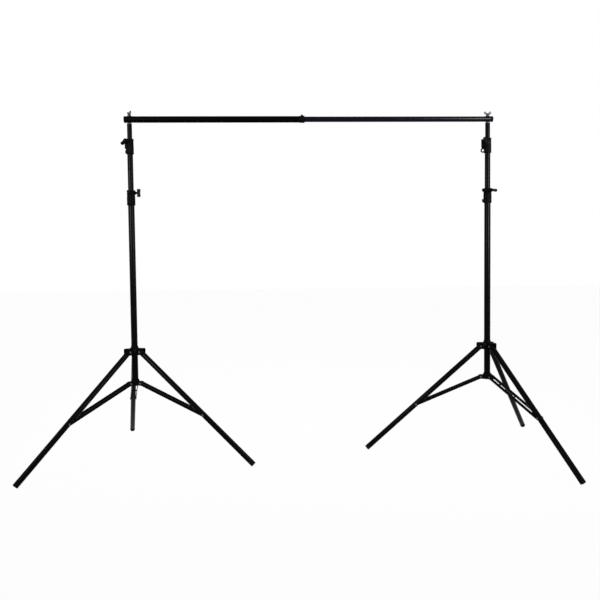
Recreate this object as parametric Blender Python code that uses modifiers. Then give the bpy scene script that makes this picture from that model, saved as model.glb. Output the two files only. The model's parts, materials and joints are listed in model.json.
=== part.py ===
"""Backdrop stand: two folding tripods that carry a telescoping crossbar.

Metres, +Z up, +X along the crossbar, the floor at z = 0 and the origin at the middle of the
object's bounding box on the floor. The camera side of the stand is -Y.
"""

import math

import bmesh
import bpy
from mathutils import Matrix, Vector

# Gaps
GAP = 0.0003
OPEN_PIVOT_GAP = 0.0003
PIN_GAP = 0.0005

# Points closer than this are one point, and faces flatter than this are one face
WELD = 0.000002
FLAT_ANGLE = math.radians(0.05)

# Facets round a turn
TUBE_STEPS = 20
BUSH_STEPS = 16
SMALL_STEPS = 10
PIN_STEPS = 8
ARC_STEPS = 6
RIM_STEPS = 720

# Tripod linkage, measured between pivot centres
LEG_LENGTH = 0.8605
LEG_TO_BRACE_RIVET = 0.4858
BRACE_LENGTH = 0.391
LEG_ANGLE = math.radians(47.5)
PIVOT_RADIUS = 0.036

# Tubes of each stand
BASE_TUBE_DIAMETER = 0.034
MIDDLE_TUBE_DIAMETER = 0.030
TOP_TUBE_DIAMETER = 0.026
TUBE_WALL = 0.0015
BASE_TUBE_LENGTH = 1.022
MIDDLE_TUBE_LENGTH = 0.930
TOP_TUBE_CLEARANCE = 0.0883
MIDDLE_DRAWN_OUT = 0.193
TOP_DRAWN_OUT = 0.078
BUSH_LENGTH = 0.030
BUSH_WALL = 0.0025

# Legs and their rubber tips
LEG_DIAMETER = 0.029
LEG_WALL = 0.0015
LEG_SOLID_END = 0.030
LEG_END_WIDTH = 0.0285
TIP_LENGTH = 0.028
TIP_SPIGOT = 0.030
TIP_FLAT_DEPTH = 0.0015
TIP_EDGE = 0.002

# Braces
STRAP_THICKNESS = 0.0025
STRAP_HEIGHT = 0.016
SPACER_DIAMETER = 0.008
SPACER_PLACE = 0.195
SPACER_END = 0.001

# Rivets
RIVET_DIAMETER = 0.006
RIVET_HEAD_DIAMETER = 0.0125
RIVET_CROWN_DIAMETER = 0.009
RIVET_HEAD_HEIGHT = 0.0025
RIVET_SUNK = 0.0005

# Spider, the sliding hub
SPIDER_WALL = 0.0032
SPIDER_ABOVE = 0.034
SPIDER_BELOW = 0.018
SPIDER_SHOULDER = 0.009
SHOULDER_HOLLOW = (0.25, 0.4)
CLEVIS_REACH = 0.056
CLEVIS_ABOVE = 0.020
CLEVIS_BELOW = 0.016
CLEVIS_WALL = 0.0035
CLEVIS_CORNER = 0.006

# Spider lock knob
SPIDER_KNOB_DIAMETER = 0.021
SPIDER_KNOB_LENGTH = 0.015
SPIDER_KNOB_HEIGHT = 0.010
SPIDER_BOSS_DIAMETER = 0.016
SPIDER_BOSS_LENGTH = 0.001
SPIDER_SCREW_DIAMETER = 0.007
KNOB_FLUTES = 6
FLUTE_DIAMETER = 0.006
FLUTE_OUTSIDE = 0.0012
SPIDER_KNOB_EDGE = 0.0013

# Brace collar, the fixed hub
BRACE_COLLAR_DIAMETER = 0.048
BRACE_COLLAR_ABOVE = 0.022
BRACE_COLLAR_BELOW = 0.012
BRACE_COLLAR_FLOOR = 0.003
BRACE_LUG_RADIUS = 0.0115
BRACE_COLLAR_HOLLOW = 0.3

# Lock collars
COLLAR_HEIGHT = 0.080
COLLAR_SEAT = 0.050
COLLAR_WALL = 0.0042
COLLAR_RIM = 0.0012
COLLAR_RIM_HEIGHT = 0.005
LUG_WIDTH = 0.020
LOWER_LUG_REACH = 0.036
LOWER_LUG_HEIGHT = 0.017
LOWER_LUG_MARGIN = 0.003
UPPER_LUG_REACH = 0.033
UPPER_LUG_BOTTOM = 0.031
UPPER_LUG_TOP = 0.076
LUG_ROUND = 0.004
LOOP_CENTRE = 0.0262
LOOP_RADIUS = 0.0130
LOOP_HOLE_RADIUS = 0.0076
LOOP_THICKNESS = 0.006
LOOP_HEIGHT = 0.0145

# T-knobs
LOWER_KNOB_HEIGHT = 0.066
UPPER_KNOB_HEIGHT = 0.061
KNOB_SCREW_DIAMETER = 0.009
KNOB_BOSS_DIAMETER = 0.019
KNOB_BOSS_END = 0.017
KNOB_BOSS_LENGTH = 0.005
KNOB_STEM_DIAMETER = 0.0125
KNOB_STEM_LENGTH = 0.005
KNOB_BAR_LENGTH = 0.044
KNOB_BAR_DEPTH = 0.019
KNOB_BAR_WIDTH = 0.016
KNOB_BAR_WAIST = 0.78
KNOB_BAR_CUTS = 6
KNOB_BAR_SWELL_RATE = 1.3
KNOB_BAR_END_START = 0.8
KNOB_BAR_END_FADE = 0.22
KNOB_BAR_END_LEAST = 0.35

# Stud plug on the top tube
PLUG_DEPTH = 0.025
PLUG_FLANGE = 0.002
SEAT_HEIGHT = 0.006
SEAT_DIAMETER = 0.018
STUD_DIAMETER = 0.008
STUD_ABOVE_NUT = 0.003
STUD_EDGE = 0.0008

# Washer and wing nut
WASHER_DIAMETER = 0.022
WASHER_THICKNESS = 0.0018
NUT_HUB_DIAMETER = 0.019
NUT_HUB_HEIGHT = 0.012
NUT_TOP_DIAMETER = 0.014
WING_SPAN = 0.042
WING_RISE = 0.024
WING_THICKNESS = 0.0035
WING_LOBE_RADIUS = 0.007
WING_ROOT = 0.0015
WING_ROOT_BOTTOM = 0.002
WING_ROOT_TOP = 0.011

# Crossbar
BAR_LENGTH = 2.000
BAR_OUTER_DIAMETER = 0.034
BAR_INNER_DIAMETER = 0.029
BAR_OVERHANG = 0.028
BAR_JOINT = -0.047
BAR_OVERLAP = 0.200
CAP_THICKNESS = 0.011
CAP_LIP = 0.0008
CAP_SPIGOT = 0.012
CAP_EDGE = 0.0022
STUD_HOLE_CLEARANCE = 0.0004
LOCK_RING_LENGTH = 0.028
LOCK_RING_WALL = 0.002
LOCK_RING_NOSE = 0.006
LOCK_SCREW_DIAMETER = 0.005
LOCK_SCREW_HEAD_DIAMETER = 0.011
LOCK_SCREW_HEAD_HEIGHT = 0.0045
LOCK_SCREW_CROWN = 0.75
LOCK_SCREW_SLOT = 0.001
LOCK_BOSS_DIAMETER = 0.012
LOCK_BOSS_HEIGHT = 0.0015

# How each stand and its loosened knobs are turned, in degrees about its own column
TURNS = {
    "left": {
        "legs": -16.5,
        "lower_knob": 0.0,
        "lower_knob_spin": 0.0,
        "upper_knob": -130.0,
        "upper_knob_spin": 120.0,
        "wing_nut": 125.0,
    },
    "right": {
        "legs": -67.5,
        "lower_knob": -55.0,
        "lower_knob_spin": 90.0,
        "upper_knob": -119.0,
        "upper_knob_spin": 34.0,
        "wing_nut": 0.0,
    },
}
LEG_NAMES = ("a", "b", "c")
SPIDER_KNOB_TURN = math.radians(300.0)
LUG_TURN = math.radians(-90.0)

# Linkage heights above the floor, from the triangle of leg, brace and column
TIP_RADIUS = LEG_DIAMETER / 2
FOOT_HEIGHT = TIP_RADIUS * math.sin(LEG_ANGLE) - TIP_FLAT_DEPTH
SPIDER_HEIGHT = FOOT_HEIGHT + LEG_LENGTH * math.cos(LEG_ANGLE)
RIVET_RUN = LEG_TO_BRACE_RIVET * math.sin(LEG_ANGLE)
RIVET_DROP = LEG_TO_BRACE_RIVET * math.cos(LEG_ANGLE)
BRACE_DROP = math.sqrt(BRACE_LENGTH**2 - RIVET_RUN**2)
BRACE_ANGLE = math.atan2(BRACE_DROP, RIVET_RUN)
BRACE_PIVOT_HEIGHT = SPIDER_HEIGHT - RIVET_DROP + BRACE_DROP

# Column heights above the floor
BASE_TUBE_BOTTOM = BRACE_PIVOT_HEIGHT - BRACE_COLLAR_BELOW + BRACE_COLLAR_FLOOR + GAP
BASE_TUBE_TOP = BASE_TUBE_BOTTOM + BASE_TUBE_LENGTH
LOWER_COLLAR_BOTTOM = BASE_TUBE_TOP + GAP - COLLAR_SEAT
UPPER_COLLAR_BOTTOM = LOWER_COLLAR_BOTTOM + COLLAR_HEIGHT + MIDDLE_DRAWN_OUT
MIDDLE_TUBE_TOP = UPPER_COLLAR_BOTTOM + COLLAR_SEAT - GAP
TOP_TUBE_TOP = UPPER_COLLAR_BOTTOM + COLLAR_HEIGHT + TOP_DRAWN_OUT
MIDDLE_TUBE_BOTTOM = MIDDLE_TUBE_TOP - MIDDLE_TUBE_LENGTH
TOP_TUBE_BOTTOM = MIDDLE_TUBE_BOTTOM + BUSH_LENGTH + TOP_TUBE_CLEARANCE
TOP_TUBE_LENGTH = TOP_TUBE_TOP - TOP_TUBE_BOTTOM
SEAT_OVER_TUBE = PLUG_FLANGE + SEAT_HEIGHT + GAP
BAR_BOTTOM = TOP_TUBE_TOP + SEAT_OVER_TUBE + GAP
BAR_HEIGHT = BAR_BOTTOM + BAR_OUTER_DIAMETER / 2
COLUMN_X = BAR_LENGTH / 2 - BAR_OVERHANG
FORK_WIDTH = LEG_DIAMETER + 2 * OPEN_PIVOT_GAP
STRAP_FACE = FORK_WIDTH / 2 + STRAP_THICKNESS
HUB_BORE = BASE_TUBE_DIAMETER / 2 + GAP
SPIDER_NECK = HUB_BORE + SPIDER_WALL
SPIDER_BOSS_REACH = SPIDER_NECK + SPIDER_SHOULDER + SPIDER_BOSS_LENGTH


def new_collection(name):
    collection = bpy.data.collections.new(name)
    bpy.context.scene.collection.children.link(collection)
    return collection


def clear_scene():
    for obj in list(bpy.data.objects):
        bpy.data.objects.remove(obj, do_unlink=True)
    for collection in list(bpy.data.collections):
        bpy.data.collections.remove(collection)


def finish(name, colour, roughness, metallic):
    """A plain material for one kind of piece."""
    material = bpy.data.materials.new(name)
    material.use_nodes = True
    shader = material.node_tree.nodes["Principled BSDF"]
    shader.inputs["Base Color"].default_value = (*colour, 1.0)
    shader.inputs["Roughness"].default_value = roughness
    shader.inputs["Metallic"].default_value = metallic
    material.diffuse_color = (*colour, 1.0)
    return material


# Working shapes. Each is an object in the cutters collection until it is baked to a mesh.


def working(name, mesh):
    obj = bpy.data.objects.new(name, mesh)
    obj.hide_render = True
    obj.display_type = "WIRE"
    bpy.data.collections["cutters"].objects.link(obj)
    return obj


def from_bmesh(shape, matrix):
    mesh = bpy.data.meshes.new("shape")
    bmesh.ops.transform(shape, matrix=matrix, verts=shape.verts)
    bmesh.ops.recalc_face_normals(shape, faces=shape.faces)
    shape.to_mesh(mesh)
    shape.free()
    return working("shape", mesh)


def along(axis):
    """The turn that takes +Z to a named axis."""
    turns = {
        "X": Matrix.Rotation(math.pi / 2, 4, "Y"),
        "Y": Matrix.Rotation(-math.pi / 2, 4, "X"),
        "Z": Matrix.Identity(4),
    }
    return turns[axis]


def cylinder(radius, start, end, axis="Z", centre=(0, 0, 0), steps=SMALL_STEPS, end_radius=None):
    """A cylinder or cone from start to end along an axis through centre."""
    shape = bmesh.new()
    bmesh.ops.create_cone(
        shape,
        cap_ends=True,
        segments=steps,
        radius1=radius,
        radius2=radius if end_radius is None else end_radius,
        depth=end - start,
        matrix=Matrix.Translation((0, 0, (start + end) / 2)),
    )
    return from_bmesh(shape, Matrix.Translation(centre) @ along(axis))


def box(low, high, rounding=0.0, rounded_axis="Z"):
    """A box between two corners, with its edges along one axis rounded."""
    size = Vector(high) - Vector(low)
    middle = (Vector(high) + Vector(low)) / 2
    shape = bmesh.new()
    bmesh.ops.create_cube(shape, size=1.0)
    bmesh.ops.scale(shape, vec=size, verts=shape.verts)
    if rounding:
        index = "XYZ".index(rounded_axis)
        edges = [
            edge
            for edge in shape.edges
            if abs((edge.verts[0].co - edge.verts[1].co)[index]) > size[index] / 2
        ]
        bmesh.ops.bevel(shape, geom=edges, offset=rounding, segments=2, profile=0.5, affect="EDGES")
    return from_bmesh(shape, Matrix.Translation(middle))


def arc(centre, radius, start, end, steps):
    """Points round a circle from one angle to another."""
    points = []
    for step in range(steps + 1):
        turn = start + (end - start) * step / steps
        points.append((centre[0] + radius * math.cos(turn), centre[1] + radius * math.sin(turn)))
    return points


def plate(outline, low, high):
    """A flat outline of (x, z) points with its thickness between two values of Y."""
    curve = bpy.data.curves.new("outline", "CURVE")
    curve.dimensions = "2D"
    curve.fill_mode = "BOTH"
    curve.resolution_u = 1
    curve.bevel_resolution = 0
    curve.extrude = (high - low) / 2
    spline = curve.splines.new("POLY")
    spline.points.add(len(outline) - 1)
    for point, (x, z) in zip(spline.points, outline):
        point.co = (x, z, 0, 1)
    spline.use_cyclic_u = True
    flat = bpy.data.objects.new("outline", curve)
    flat.hide_render = True
    bpy.data.collections["cutters"].objects.link(flat)
    shape = working("plate", taken_mesh(flat))
    stood_up = Matrix.Translation((0, (low + high) / 2, 0)) @ Matrix.Rotation(math.pi / 2, 4, "X")
    return moved(shape, stood_up)


def turned(profile, steps=TUBE_STEPS, ring=False):
    """A profile of (radius, height) points, listed down its outer side, turned about Z."""
    shape = bmesh.new()
    points = [shape.verts.new((radius, 0, height)) for radius, height in profile]
    for first, second in zip(points, points[1:]):
        shape.edges.new((first, second))
    if ring:
        shape.edges.new((points[-1], points[0]))
    mesh = bpy.data.meshes.new("profile")
    shape.to_mesh(mesh)
    shape.free()
    obj = working("profile", mesh)
    screw = obj.modifiers.new("turn", "SCREW")
    screw.axis = "Z"
    screw.angle = math.tau
    screw.steps = steps
    screw.render_steps = steps
    screw.use_merge_vertices = True
    screw.merge_threshold = 0.00001
    return working("turned", taken_mesh(obj))


def pipe(outer, inner, bottom, top, steps=TUBE_STEPS):
    """A tube between two heights."""
    profile = [(outer, top), (outer, bottom), (inner, bottom), (inner, top)]
    return turned(profile, steps, ring=True)


def taken_mesh(obj):
    """The evaluated mesh of a working object, which is then removed."""
    graph = bpy.context.evaluated_depsgraph_get()
    mesh = bpy.data.meshes.new_from_object(obj.evaluated_get(graph))
    bpy.data.objects.remove(obj, do_unlink=True)
    shape = bmesh.new()
    shape.from_mesh(mesh)
    bmesh.ops.remove_doubles(shape, verts=shape.verts, dist=WELD)
    bmesh.ops.dissolve_degenerate(shape, edges=shape.edges, dist=WELD)
    bmesh.ops.dissolve_limit(
        shape, angle_limit=FLAT_ANGLE, verts=shape.verts, edges=shape.edges
    )
    bmesh.ops.recalc_face_normals(shape, faces=shape.faces)
    shape.to_mesh(mesh)
    shape.free()
    return mesh


def combined(base, joins=(), cuts=()):
    """The base with other working shapes joined to it and then cut from it."""
    steps = [("UNION", other) for other in joins] + [("DIFFERENCE", other) for other in cuts]
    for number, (operation, other) in enumerate(steps):
        modifier = base.modifiers.new(f"{operation.lower()}_{number}", "BOOLEAN")
        modifier.operation = operation
        modifier.solver = "EXACT"
        modifier.object = other
    mesh = taken_mesh(base)
    for _, other in steps:
        bpy.data.objects.remove(other, do_unlink=True)
    return working("combined", mesh)


def moved(obj, matrix):
    obj.data.transform(matrix)
    return obj


def finished_mesh(obj, name):
    """The mesh of a working shape, smooth but for its real edges."""
    mesh = taken_mesh(obj)
    mesh.name = name
    mesh.shade_smooth()
    mesh.set_sharp_from_angle(angle=math.radians(35))
    return mesh


# Pieces of the tripod


def base_tube_mesh():
    radius = BASE_TUBE_DIAMETER / 2
    shape = pipe(radius, radius - TUBE_WALL, BASE_TUBE_BOTTOM, BASE_TUBE_TOP)
    return finished_mesh(shape, "base_tube")


def rivet(head_face):
    """A rivet along Y whose heads start at head_face on each side."""
    top = head_face + RIVET_HEAD_HEIGHT
    radius = RIVET_HEAD_DIAMETER / 2
    crown = RIVET_CROWN_DIAMETER / 2
    shank = RIVET_DIAMETER / 2
    profile = [
        (0, top),
        (crown, top),
        (radius, head_face),
        (shank, head_face),
        (shank, -head_face),
        (radius, -head_face),
        (crown, -top),
        (0, -top),
    ]
    return moved(turned(profile, PIN_STEPS), along("Y"))


def spun(obj, angle):
    return moved(obj, Matrix.Rotation(angle, 4, "Z"))


def leg_turns():
    return [math.tau * number / len(LEG_NAMES) for number in range(len(LEG_NAMES))]


def rivet_ring(head_face):
    """One rivet for each leg, at the pivot radius."""
    shift = Matrix.Translation((PIVOT_RADIUS, 0, 0))
    return [spun(moved(rivet(head_face), shift), turn) for turn in leg_turns()]


def brace_collar_mesh():
    """The fixed hub: a cup on the base tube's lower end, with three lugs and their rivets."""
    outer = BRACE_COLLAR_DIAMETER / 2
    neck = SPIDER_NECK
    low = -BRACE_COLLAR_BELOW
    shoulder = BRACE_LUG_RADIUS
    profile = [
        (0, BRACE_COLLAR_ABOVE),
        (neck, BRACE_COLLAR_ABOVE),
        (
            neck + (outer - neck) * BRACE_COLLAR_HOLLOW,
            (BRACE_COLLAR_ABOVE + shoulder) / 2,
        ),
        (outer, shoulder),
        (outer, low),
        (0, low),
    ]
    half_width = LEG_DIAMETER / 2
    quarter = math.pi / 2
    nose = arc((PIVOT_RADIUS, 0), BRACE_LUG_RADIUS, -quarter, quarter, ARC_STEPS)
    outline = [(HUB_BORE, -BRACE_LUG_RADIUS)] + nose + [(HUB_BORE, BRACE_LUG_RADIUS)]
    lugs = [spun(plate(outline, -half_width, half_width), turn) for turn in leg_turns()]
    rivets = rivet_ring(STRAP_FACE + GAP)
    socket = cylinder(
        HUB_BORE, low + BRACE_COLLAR_FLOOR, BRACE_COLLAR_ABOVE * 2, steps=TUBE_STEPS
    )
    shape = combined(turned(profile), lugs + rivets, [socket])
    return finished_mesh(shape, "brace_collar")


def clevis():
    """One arm of the spider: two cheeks and a roof, open below and at its outer end."""
    half = FORK_WIDTH / 2 + CLEVIS_WALL
    inner = HUB_BORE + SPIDER_WALL / 2
    arm = box(
        (inner, -half, -CLEVIS_BELOW),
        (CLEVIS_REACH, half, CLEVIS_ABOVE),
        CLEVIS_CORNER,
        "Y",
    )
    slot = box(
        (SPIDER_NECK, -FORK_WIDTH / 2, -CLEVIS_BELOW * 2),
        (CLEVIS_REACH * 2, FORK_WIDTH / 2, CLEVIS_ABOVE - CLEVIS_WALL),
    )
    return combined(arm, cuts=[slot])


def spider_mesh():
    """The sliding hub: a sleeve with three clevises and their rivets, and its knob's boss."""
    neck = SPIDER_NECK
    shoulder = neck + SPIDER_SHOULDER
    roof = CLEVIS_ABOVE - CLEVIS_WALL / 2
    hollow_out, hollow_up = SHOULDER_HOLLOW
    profile = [
        (0, SPIDER_ABOVE),
        (neck, SPIDER_ABOVE),
        (neck + SPIDER_SHOULDER * hollow_out, roof + (SPIDER_ABOVE - roof) * hollow_up),
        (shoulder, roof),
        (shoulder, CLEVIS_ABOVE - CLEVIS_WALL),
        (neck, CLEVIS_ABOVE - CLEVIS_WALL),
        (neck, -SPIDER_BELOW),
        (0, -SPIDER_BELOW),
    ]
    arms = [spun(clevis(), turn) for turn in leg_turns()]
    boss_centre = (0, 0, SPIDER_KNOB_HEIGHT)
    boss = cylinder(
        SPIDER_BOSS_DIAMETER / 2, HUB_BORE + SPIDER_WALL / 2, SPIDER_BOSS_REACH, "X", boss_centre
    )
    tapped = cylinder(
        SPIDER_SCREW_DIAMETER / 2 + GAP, 0, SPIDER_BOSS_REACH * 2, "X", boss_centre
    )
    bore = cylinder(HUB_BORE, -SPIDER_BELOW * 2, SPIDER_ABOVE * 2, steps=TUBE_STEPS)
    rivets = rivet_ring(FORK_WIDTH / 2 + CLEVIS_WALL - RIVET_SUNK)
    shape = combined(
        turned(profile),
        arms + [spun(boss, SPIDER_KNOB_TURN)] + rivets,
        [spun(tapped, SPIDER_KNOB_TURN), bore],
    )
    return finished_mesh(shape, "spider")


def spider_knob_mesh():
    """A small fluted knob, its axis along X from the column's centre."""
    start = SPIDER_BOSS_REACH + GAP
    end = start + SPIDER_KNOB_LENGTH
    radius = SPIDER_KNOB_DIAMETER / 2
    screw = SPIDER_SCREW_DIAMETER / 2
    edge = SPIDER_KNOB_EDGE
    profile = [
        (0, end),
        (radius - edge * 2, end),
        (radius, end - edge * 2),
        (radius, start + edge),
        (radius - edge, start),
        (screw, start),
        (screw, HUB_BORE),
        (0, HUB_BORE),
    ]
    flutes = []
    for number in range(KNOB_FLUTES):
        turn = math.tau * number / KNOB_FLUTES
        place = Matrix.Rotation(turn, 4, "Z") @ Vector((radius + FLUTE_OUTSIDE, 0, 0))
        flutes.append(cylinder(FLUTE_DIAMETER / 2, start - edge, end + edge, "Z", place, ARC_STEPS))
    shape = combined(turned(profile), cuts=flutes)
    return finished_mesh(moved(shape, along("X")), "spider_knob")


def leg_mesh():
    """A leg down -Z from its pivot: a round tube with a solid, rounded upper end."""
    radius = LEG_DIAMETER / 2
    tube = cylinder(radius, TIP_LENGTH + GAP - LEG_LENGTH, 0, steps=TUBE_STEPS)
    end = cylinder(radius, -LEG_END_WIDTH / 2, LEG_END_WIDTH / 2, "Y", steps=TUBE_STEPS)
    hole = cylinder(
        RIVET_DIAMETER / 2 + PIN_GAP, -radius * 2, radius * 2, "Y", steps=PIN_STEPS
    )
    bore = cylinder(radius - LEG_WALL, -LEG_LENGTH, -LEG_SOLID_END, steps=TUBE_STEPS)
    shape = combined(tube, [end], [hole, bore])
    return finished_mesh(shape, "leg")


def tip_mesh():
    """A rubber tip in the leg's lower end, in the leg's own frame, worn flat on the floor."""
    radius = LEG_DIAMETER / 2
    spigot = radius - LEG_WALL - GAP
    step = TIP_LENGTH - LEG_LENGTH
    profile = [
        (0, step + TIP_SPIGOT),
        (spigot, step + TIP_SPIGOT),
        (spigot, step),
        (radius, step),
        (radius, -LEG_LENGTH + TIP_EDGE / 2),
        (radius - TIP_EDGE / 2, -LEG_LENGTH),
        (0, -LEG_LENGTH),
    ]
    far = LEG_LENGTH
    ground = box((-far, -far, -SPIDER_HEIGHT - far), (far, far, -SPIDER_HEIGHT))
    moved(ground, Matrix.Rotation(LEG_ANGLE, 4, "Y"))
    shape = combined(turned(profile), cuts=[ground])
    return finished_mesh(shape, "leg_tip")


def strap(side):
    """One flat strap along X, its rounded ends centred on the two pivots."""
    inner = side * FORK_WIDTH / 2
    outer = side * STRAP_FACE
    radius = STRAP_HEIGHT / 2
    quarter = math.pi / 2
    near = arc((0, 0), radius, quarter, 3 * quarter, ARC_STEPS)
    far = arc((BRACE_LENGTH, 0), radius, -quarter, quarter, ARC_STEPS)
    return plate(near + far, min(inner, outer), max(inner, outer))


def brace_mesh():
    """A pair of straps along X from the collar pivot, with a spacer pin and the rivet's heads.

    The leg rivet has heads only, because the linkage is open at that pivot.
    """
    sunk = STRAP_FACE - STRAP_THICKNESS / 2
    reach = STRAP_FACE + SPACER_END
    spacer = cylinder(
        SPACER_DIAMETER / 2, -reach, reach, "Y", (SPACER_PLACE, 0, 0), PIN_STEPS
    )
    heads = []
    for side in (-1, 1):
        head = cylinder(
            RIVET_HEAD_DIAMETER / 2,
            sunk,
            STRAP_FACE + RIVET_HEAD_HEIGHT,
            "Y",
            steps=PIN_STEPS,
            end_radius=RIVET_CROWN_DIAMETER / 2,
        )
        if side < 0:
            moved(head, Matrix.Rotation(math.pi, 4, "Z"))
        heads.append(moved(head, Matrix.Translation((BRACE_LENGTH, 0, 0))))
    hole = cylinder(
        RIVET_DIAMETER / 2 + PIN_GAP, -STRAP_FACE * 2, STRAP_FACE * 2, "Y", steps=PIN_STEPS
    )
    shape = combined(strap(1), [strap(-1), spacer] + heads, [hole])
    return finished_mesh(shape, "brace")


# Pieces of the column


def collar_shape(lower_diameter):
    """The outside of a moulded sleeve that is seated on one tube's top end."""
    outer = collar_outer(lower_diameter)
    rim = outer + COLLAR_RIM
    profile = [
        (0, COLLAR_HEIGHT),
        (outer, COLLAR_HEIGHT),
        (rim, COLLAR_HEIGHT - COLLAR_RIM),
        (rim, COLLAR_HEIGHT - COLLAR_RIM_HEIGHT),
        (outer, COLLAR_HEIGHT - COLLAR_RIM_HEIGHT),
        (outer, COLLAR_RIM_HEIGHT),
        (rim, COLLAR_RIM_HEIGHT),
        (rim, COLLAR_RIM),
        (outer, 0),
        (0, 0),
    ]
    return turned(profile)


def collar_outer(lower_diameter):
    return lower_diameter / 2 + GAP + COLLAR_WALL


def knob_boss(lower_diameter, height):
    start = collar_outer(lower_diameter) - COLLAR_WALL / 2
    end = collar_outer(lower_diameter) + KNOB_BOSS_LENGTH
    return cylinder(
        KNOB_BOSS_DIAMETER / 2, start, end, "X", (0, 0, height), BUSH_STEPS, KNOB_BOSS_END / 2
    )


def knob_hole(height):
    reach = LOWER_LUG_REACH * 2
    return cylinder(KNOB_SCREW_DIAMETER / 2 + GAP, 0, reach, "X", (0, 0, height))


def bore_cutter(lower_diameter, upper_diameter):
    """The stepped bore: one tube's end is seated in it and the next tube slides through."""
    lower = lower_diameter / 2 + GAP
    upper = upper_diameter / 2 + GAP
    profile = [
        (0, COLLAR_HEIGHT * 2),
        (upper, COLLAR_HEIGHT * 2),
        (upper, COLLAR_SEAT),
        (lower, COLLAR_SEAT),
        (lower, -COLLAR_HEIGHT),
        (0, -COLLAR_HEIGHT),
    ]
    return turned(profile)


def lower_collar_mesh():
    """The collar on the base tube, with two grip lugs beside its knob boss."""
    half = LUG_WIDTH / 2
    start = BASE_TUBE_DIAMETER / 2 + GAP + COLLAR_WALL / 2
    lugs = []
    for low in (LOWER_LUG_MARGIN, COLLAR_HEIGHT - LOWER_LUG_MARGIN - LOWER_LUG_HEIGHT):
        lug = box(
            (start, -half, low), (LOWER_LUG_REACH, half, low + LOWER_LUG_HEIGHT), LUG_ROUND, "Y"
        )
        lugs.append(spun(lug, LUG_TURN))
    boss = knob_boss(BASE_TUBE_DIAMETER, LOWER_KNOB_HEIGHT)
    shape = combined(
        collar_shape(BASE_TUBE_DIAMETER),
        lugs + [boss],
        [bore_cutter(BASE_TUBE_DIAMETER, MIDDLE_TUBE_DIAMETER), knob_hole(LOWER_KNOB_HEIGHT)],
    )
    return finished_mesh(shape, "lower_collar")


def loop_outline():
    """The ring loop's plate, from the collar's wall round the ring and up under the block."""
    centre = (LOOP_CENTRE, LOOP_HEIGHT)
    ring = arc(centre, LOOP_RADIUS, math.radians(-150), math.radians(60), ARC_STEPS * 2)
    top = UPPER_LUG_BOTTOM + LUG_ROUND
    return ring + [(ring[-1][0], top), (ring[0][0], top)]


def upper_collar_mesh():
    """The collar on the middle tube, with a block and a ring loop beside its knob boss."""
    half = LUG_WIDTH / 2
    start = MIDDLE_TUBE_DIAMETER / 2 + GAP + COLLAR_WALL / 2
    block = box(
        (start, -half, UPPER_LUG_BOTTOM), (UPPER_LUG_REACH, half, UPPER_LUG_TOP), LUG_ROUND, "Y"
    )
    hole = cylinder(
        LOOP_HOLE_RADIUS, -LUG_WIDTH, LUG_WIDTH, "Y", (LOOP_CENTRE, 0, LOOP_HEIGHT), ARC_STEPS * 2
    )
    side = combined(plate(loop_outline(), -LOOP_THICKNESS / 2, LOOP_THICKNESS / 2), cuts=[hole])
    boss = knob_boss(MIDDLE_TUBE_DIAMETER, UPPER_KNOB_HEIGHT)
    shape = combined(
        collar_shape(MIDDLE_TUBE_DIAMETER),
        [spun(block, LUG_TURN), spun(side, LUG_TURN), boss],
        [bore_cutter(MIDDLE_TUBE_DIAMETER, TOP_TUBE_DIAMETER), knob_hole(UPPER_KNOB_HEIGHT)],
    )
    return finished_mesh(shape, "upper_collar")


def bar_thickness(place):
    """How thick a T-knob's bar is, as a share of its full size, from its middle 0 to its end 1."""
    turn = math.pi / 2 * min(1, place * KNOB_BAR_SWELL_RATE)
    swell = KNOB_BAR_WAIST + (1 - KNOB_BAR_WAIST) * math.sin(turn)
    into_end = max(0, (place - KNOB_BAR_END_START) / KNOB_BAR_END_FADE)
    return swell * max(KNOB_BAR_END_LEAST, math.sqrt(max(0, 1 - into_end**2)))


def t_knob_mesh(lower_diameter, inner_diameter, name):
    """A T-knob along X from the column's centre: screw, stem and a waisted cross bar."""
    start = collar_outer(lower_diameter) + KNOB_BOSS_LENGTH + GAP
    stem_end = start + KNOB_STEM_LENGTH
    screw = KNOB_SCREW_DIAMETER / 2
    stem = KNOB_STEM_DIAMETER / 2
    middle = stem_end + KNOB_BAR_DEPTH / 2
    profile = [
        (0, middle),
        (stem, middle),
        (stem, start),
        (screw, start),
        (screw, inner_diameter / 2 + GAP),
        (0, inner_diameter / 2 + GAP),
    ]
    shank = moved(turned(profile, SMALL_STEPS), along("X"))
    grip = bmesh.new()
    bmesh.ops.create_cone(
        grip, cap_ends=True, segments=SMALL_STEPS, radius1=0.5, radius2=0.5, depth=1.0
    )
    bmesh.ops.subdivide_edges(
        grip,
        edges=[edge for edge in grip.edges if abs(edge.verts[0].co.z - edge.verts[1].co.z) > 0.5],
        cuts=KNOB_BAR_CUTS,
    )
    for vertex in grip.verts:
        thickness = bar_thickness(abs(vertex.co.z) * 2)
        vertex.co.x *= KNOB_BAR_DEPTH * thickness
        vertex.co.y *= KNOB_BAR_WIDTH * thickness
        vertex.co.z *= KNOB_BAR_LENGTH
    cross = from_bmesh(grip, Matrix.Translation((middle, 0, 0)))
    return finished_mesh(combined(shank, [cross]), name)


def drawn_tube_mesh(diameter, bottom, top, name):
    return finished_mesh(pipe(diameter / 2, diameter / 2 - TUBE_WALL, bottom, top), name)


def bush_mesh(outside_diameter, tube_diameter, bottom, name):
    """A flanged guide bush: it closes round the tube's lower end and slides in the next tube."""
    outer = outside_diameter / 2 - TUBE_WALL - GAP
    inner = tube_diameter / 2 - TUBE_WALL - GAP
    flange = BUSH_WALL
    profile = [
        (inner, bottom - GAP + BUSH_LENGTH),
        (inner, bottom - GAP),
        (outer, bottom - GAP),
        (outer, bottom - GAP - flange),
        (inner - BUSH_WALL, bottom - GAP - flange),
        (inner - BUSH_WALL, bottom - GAP + BUSH_LENGTH),
    ]
    return finished_mesh(turned(profile, BUSH_STEPS, ring=True), name)


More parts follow.
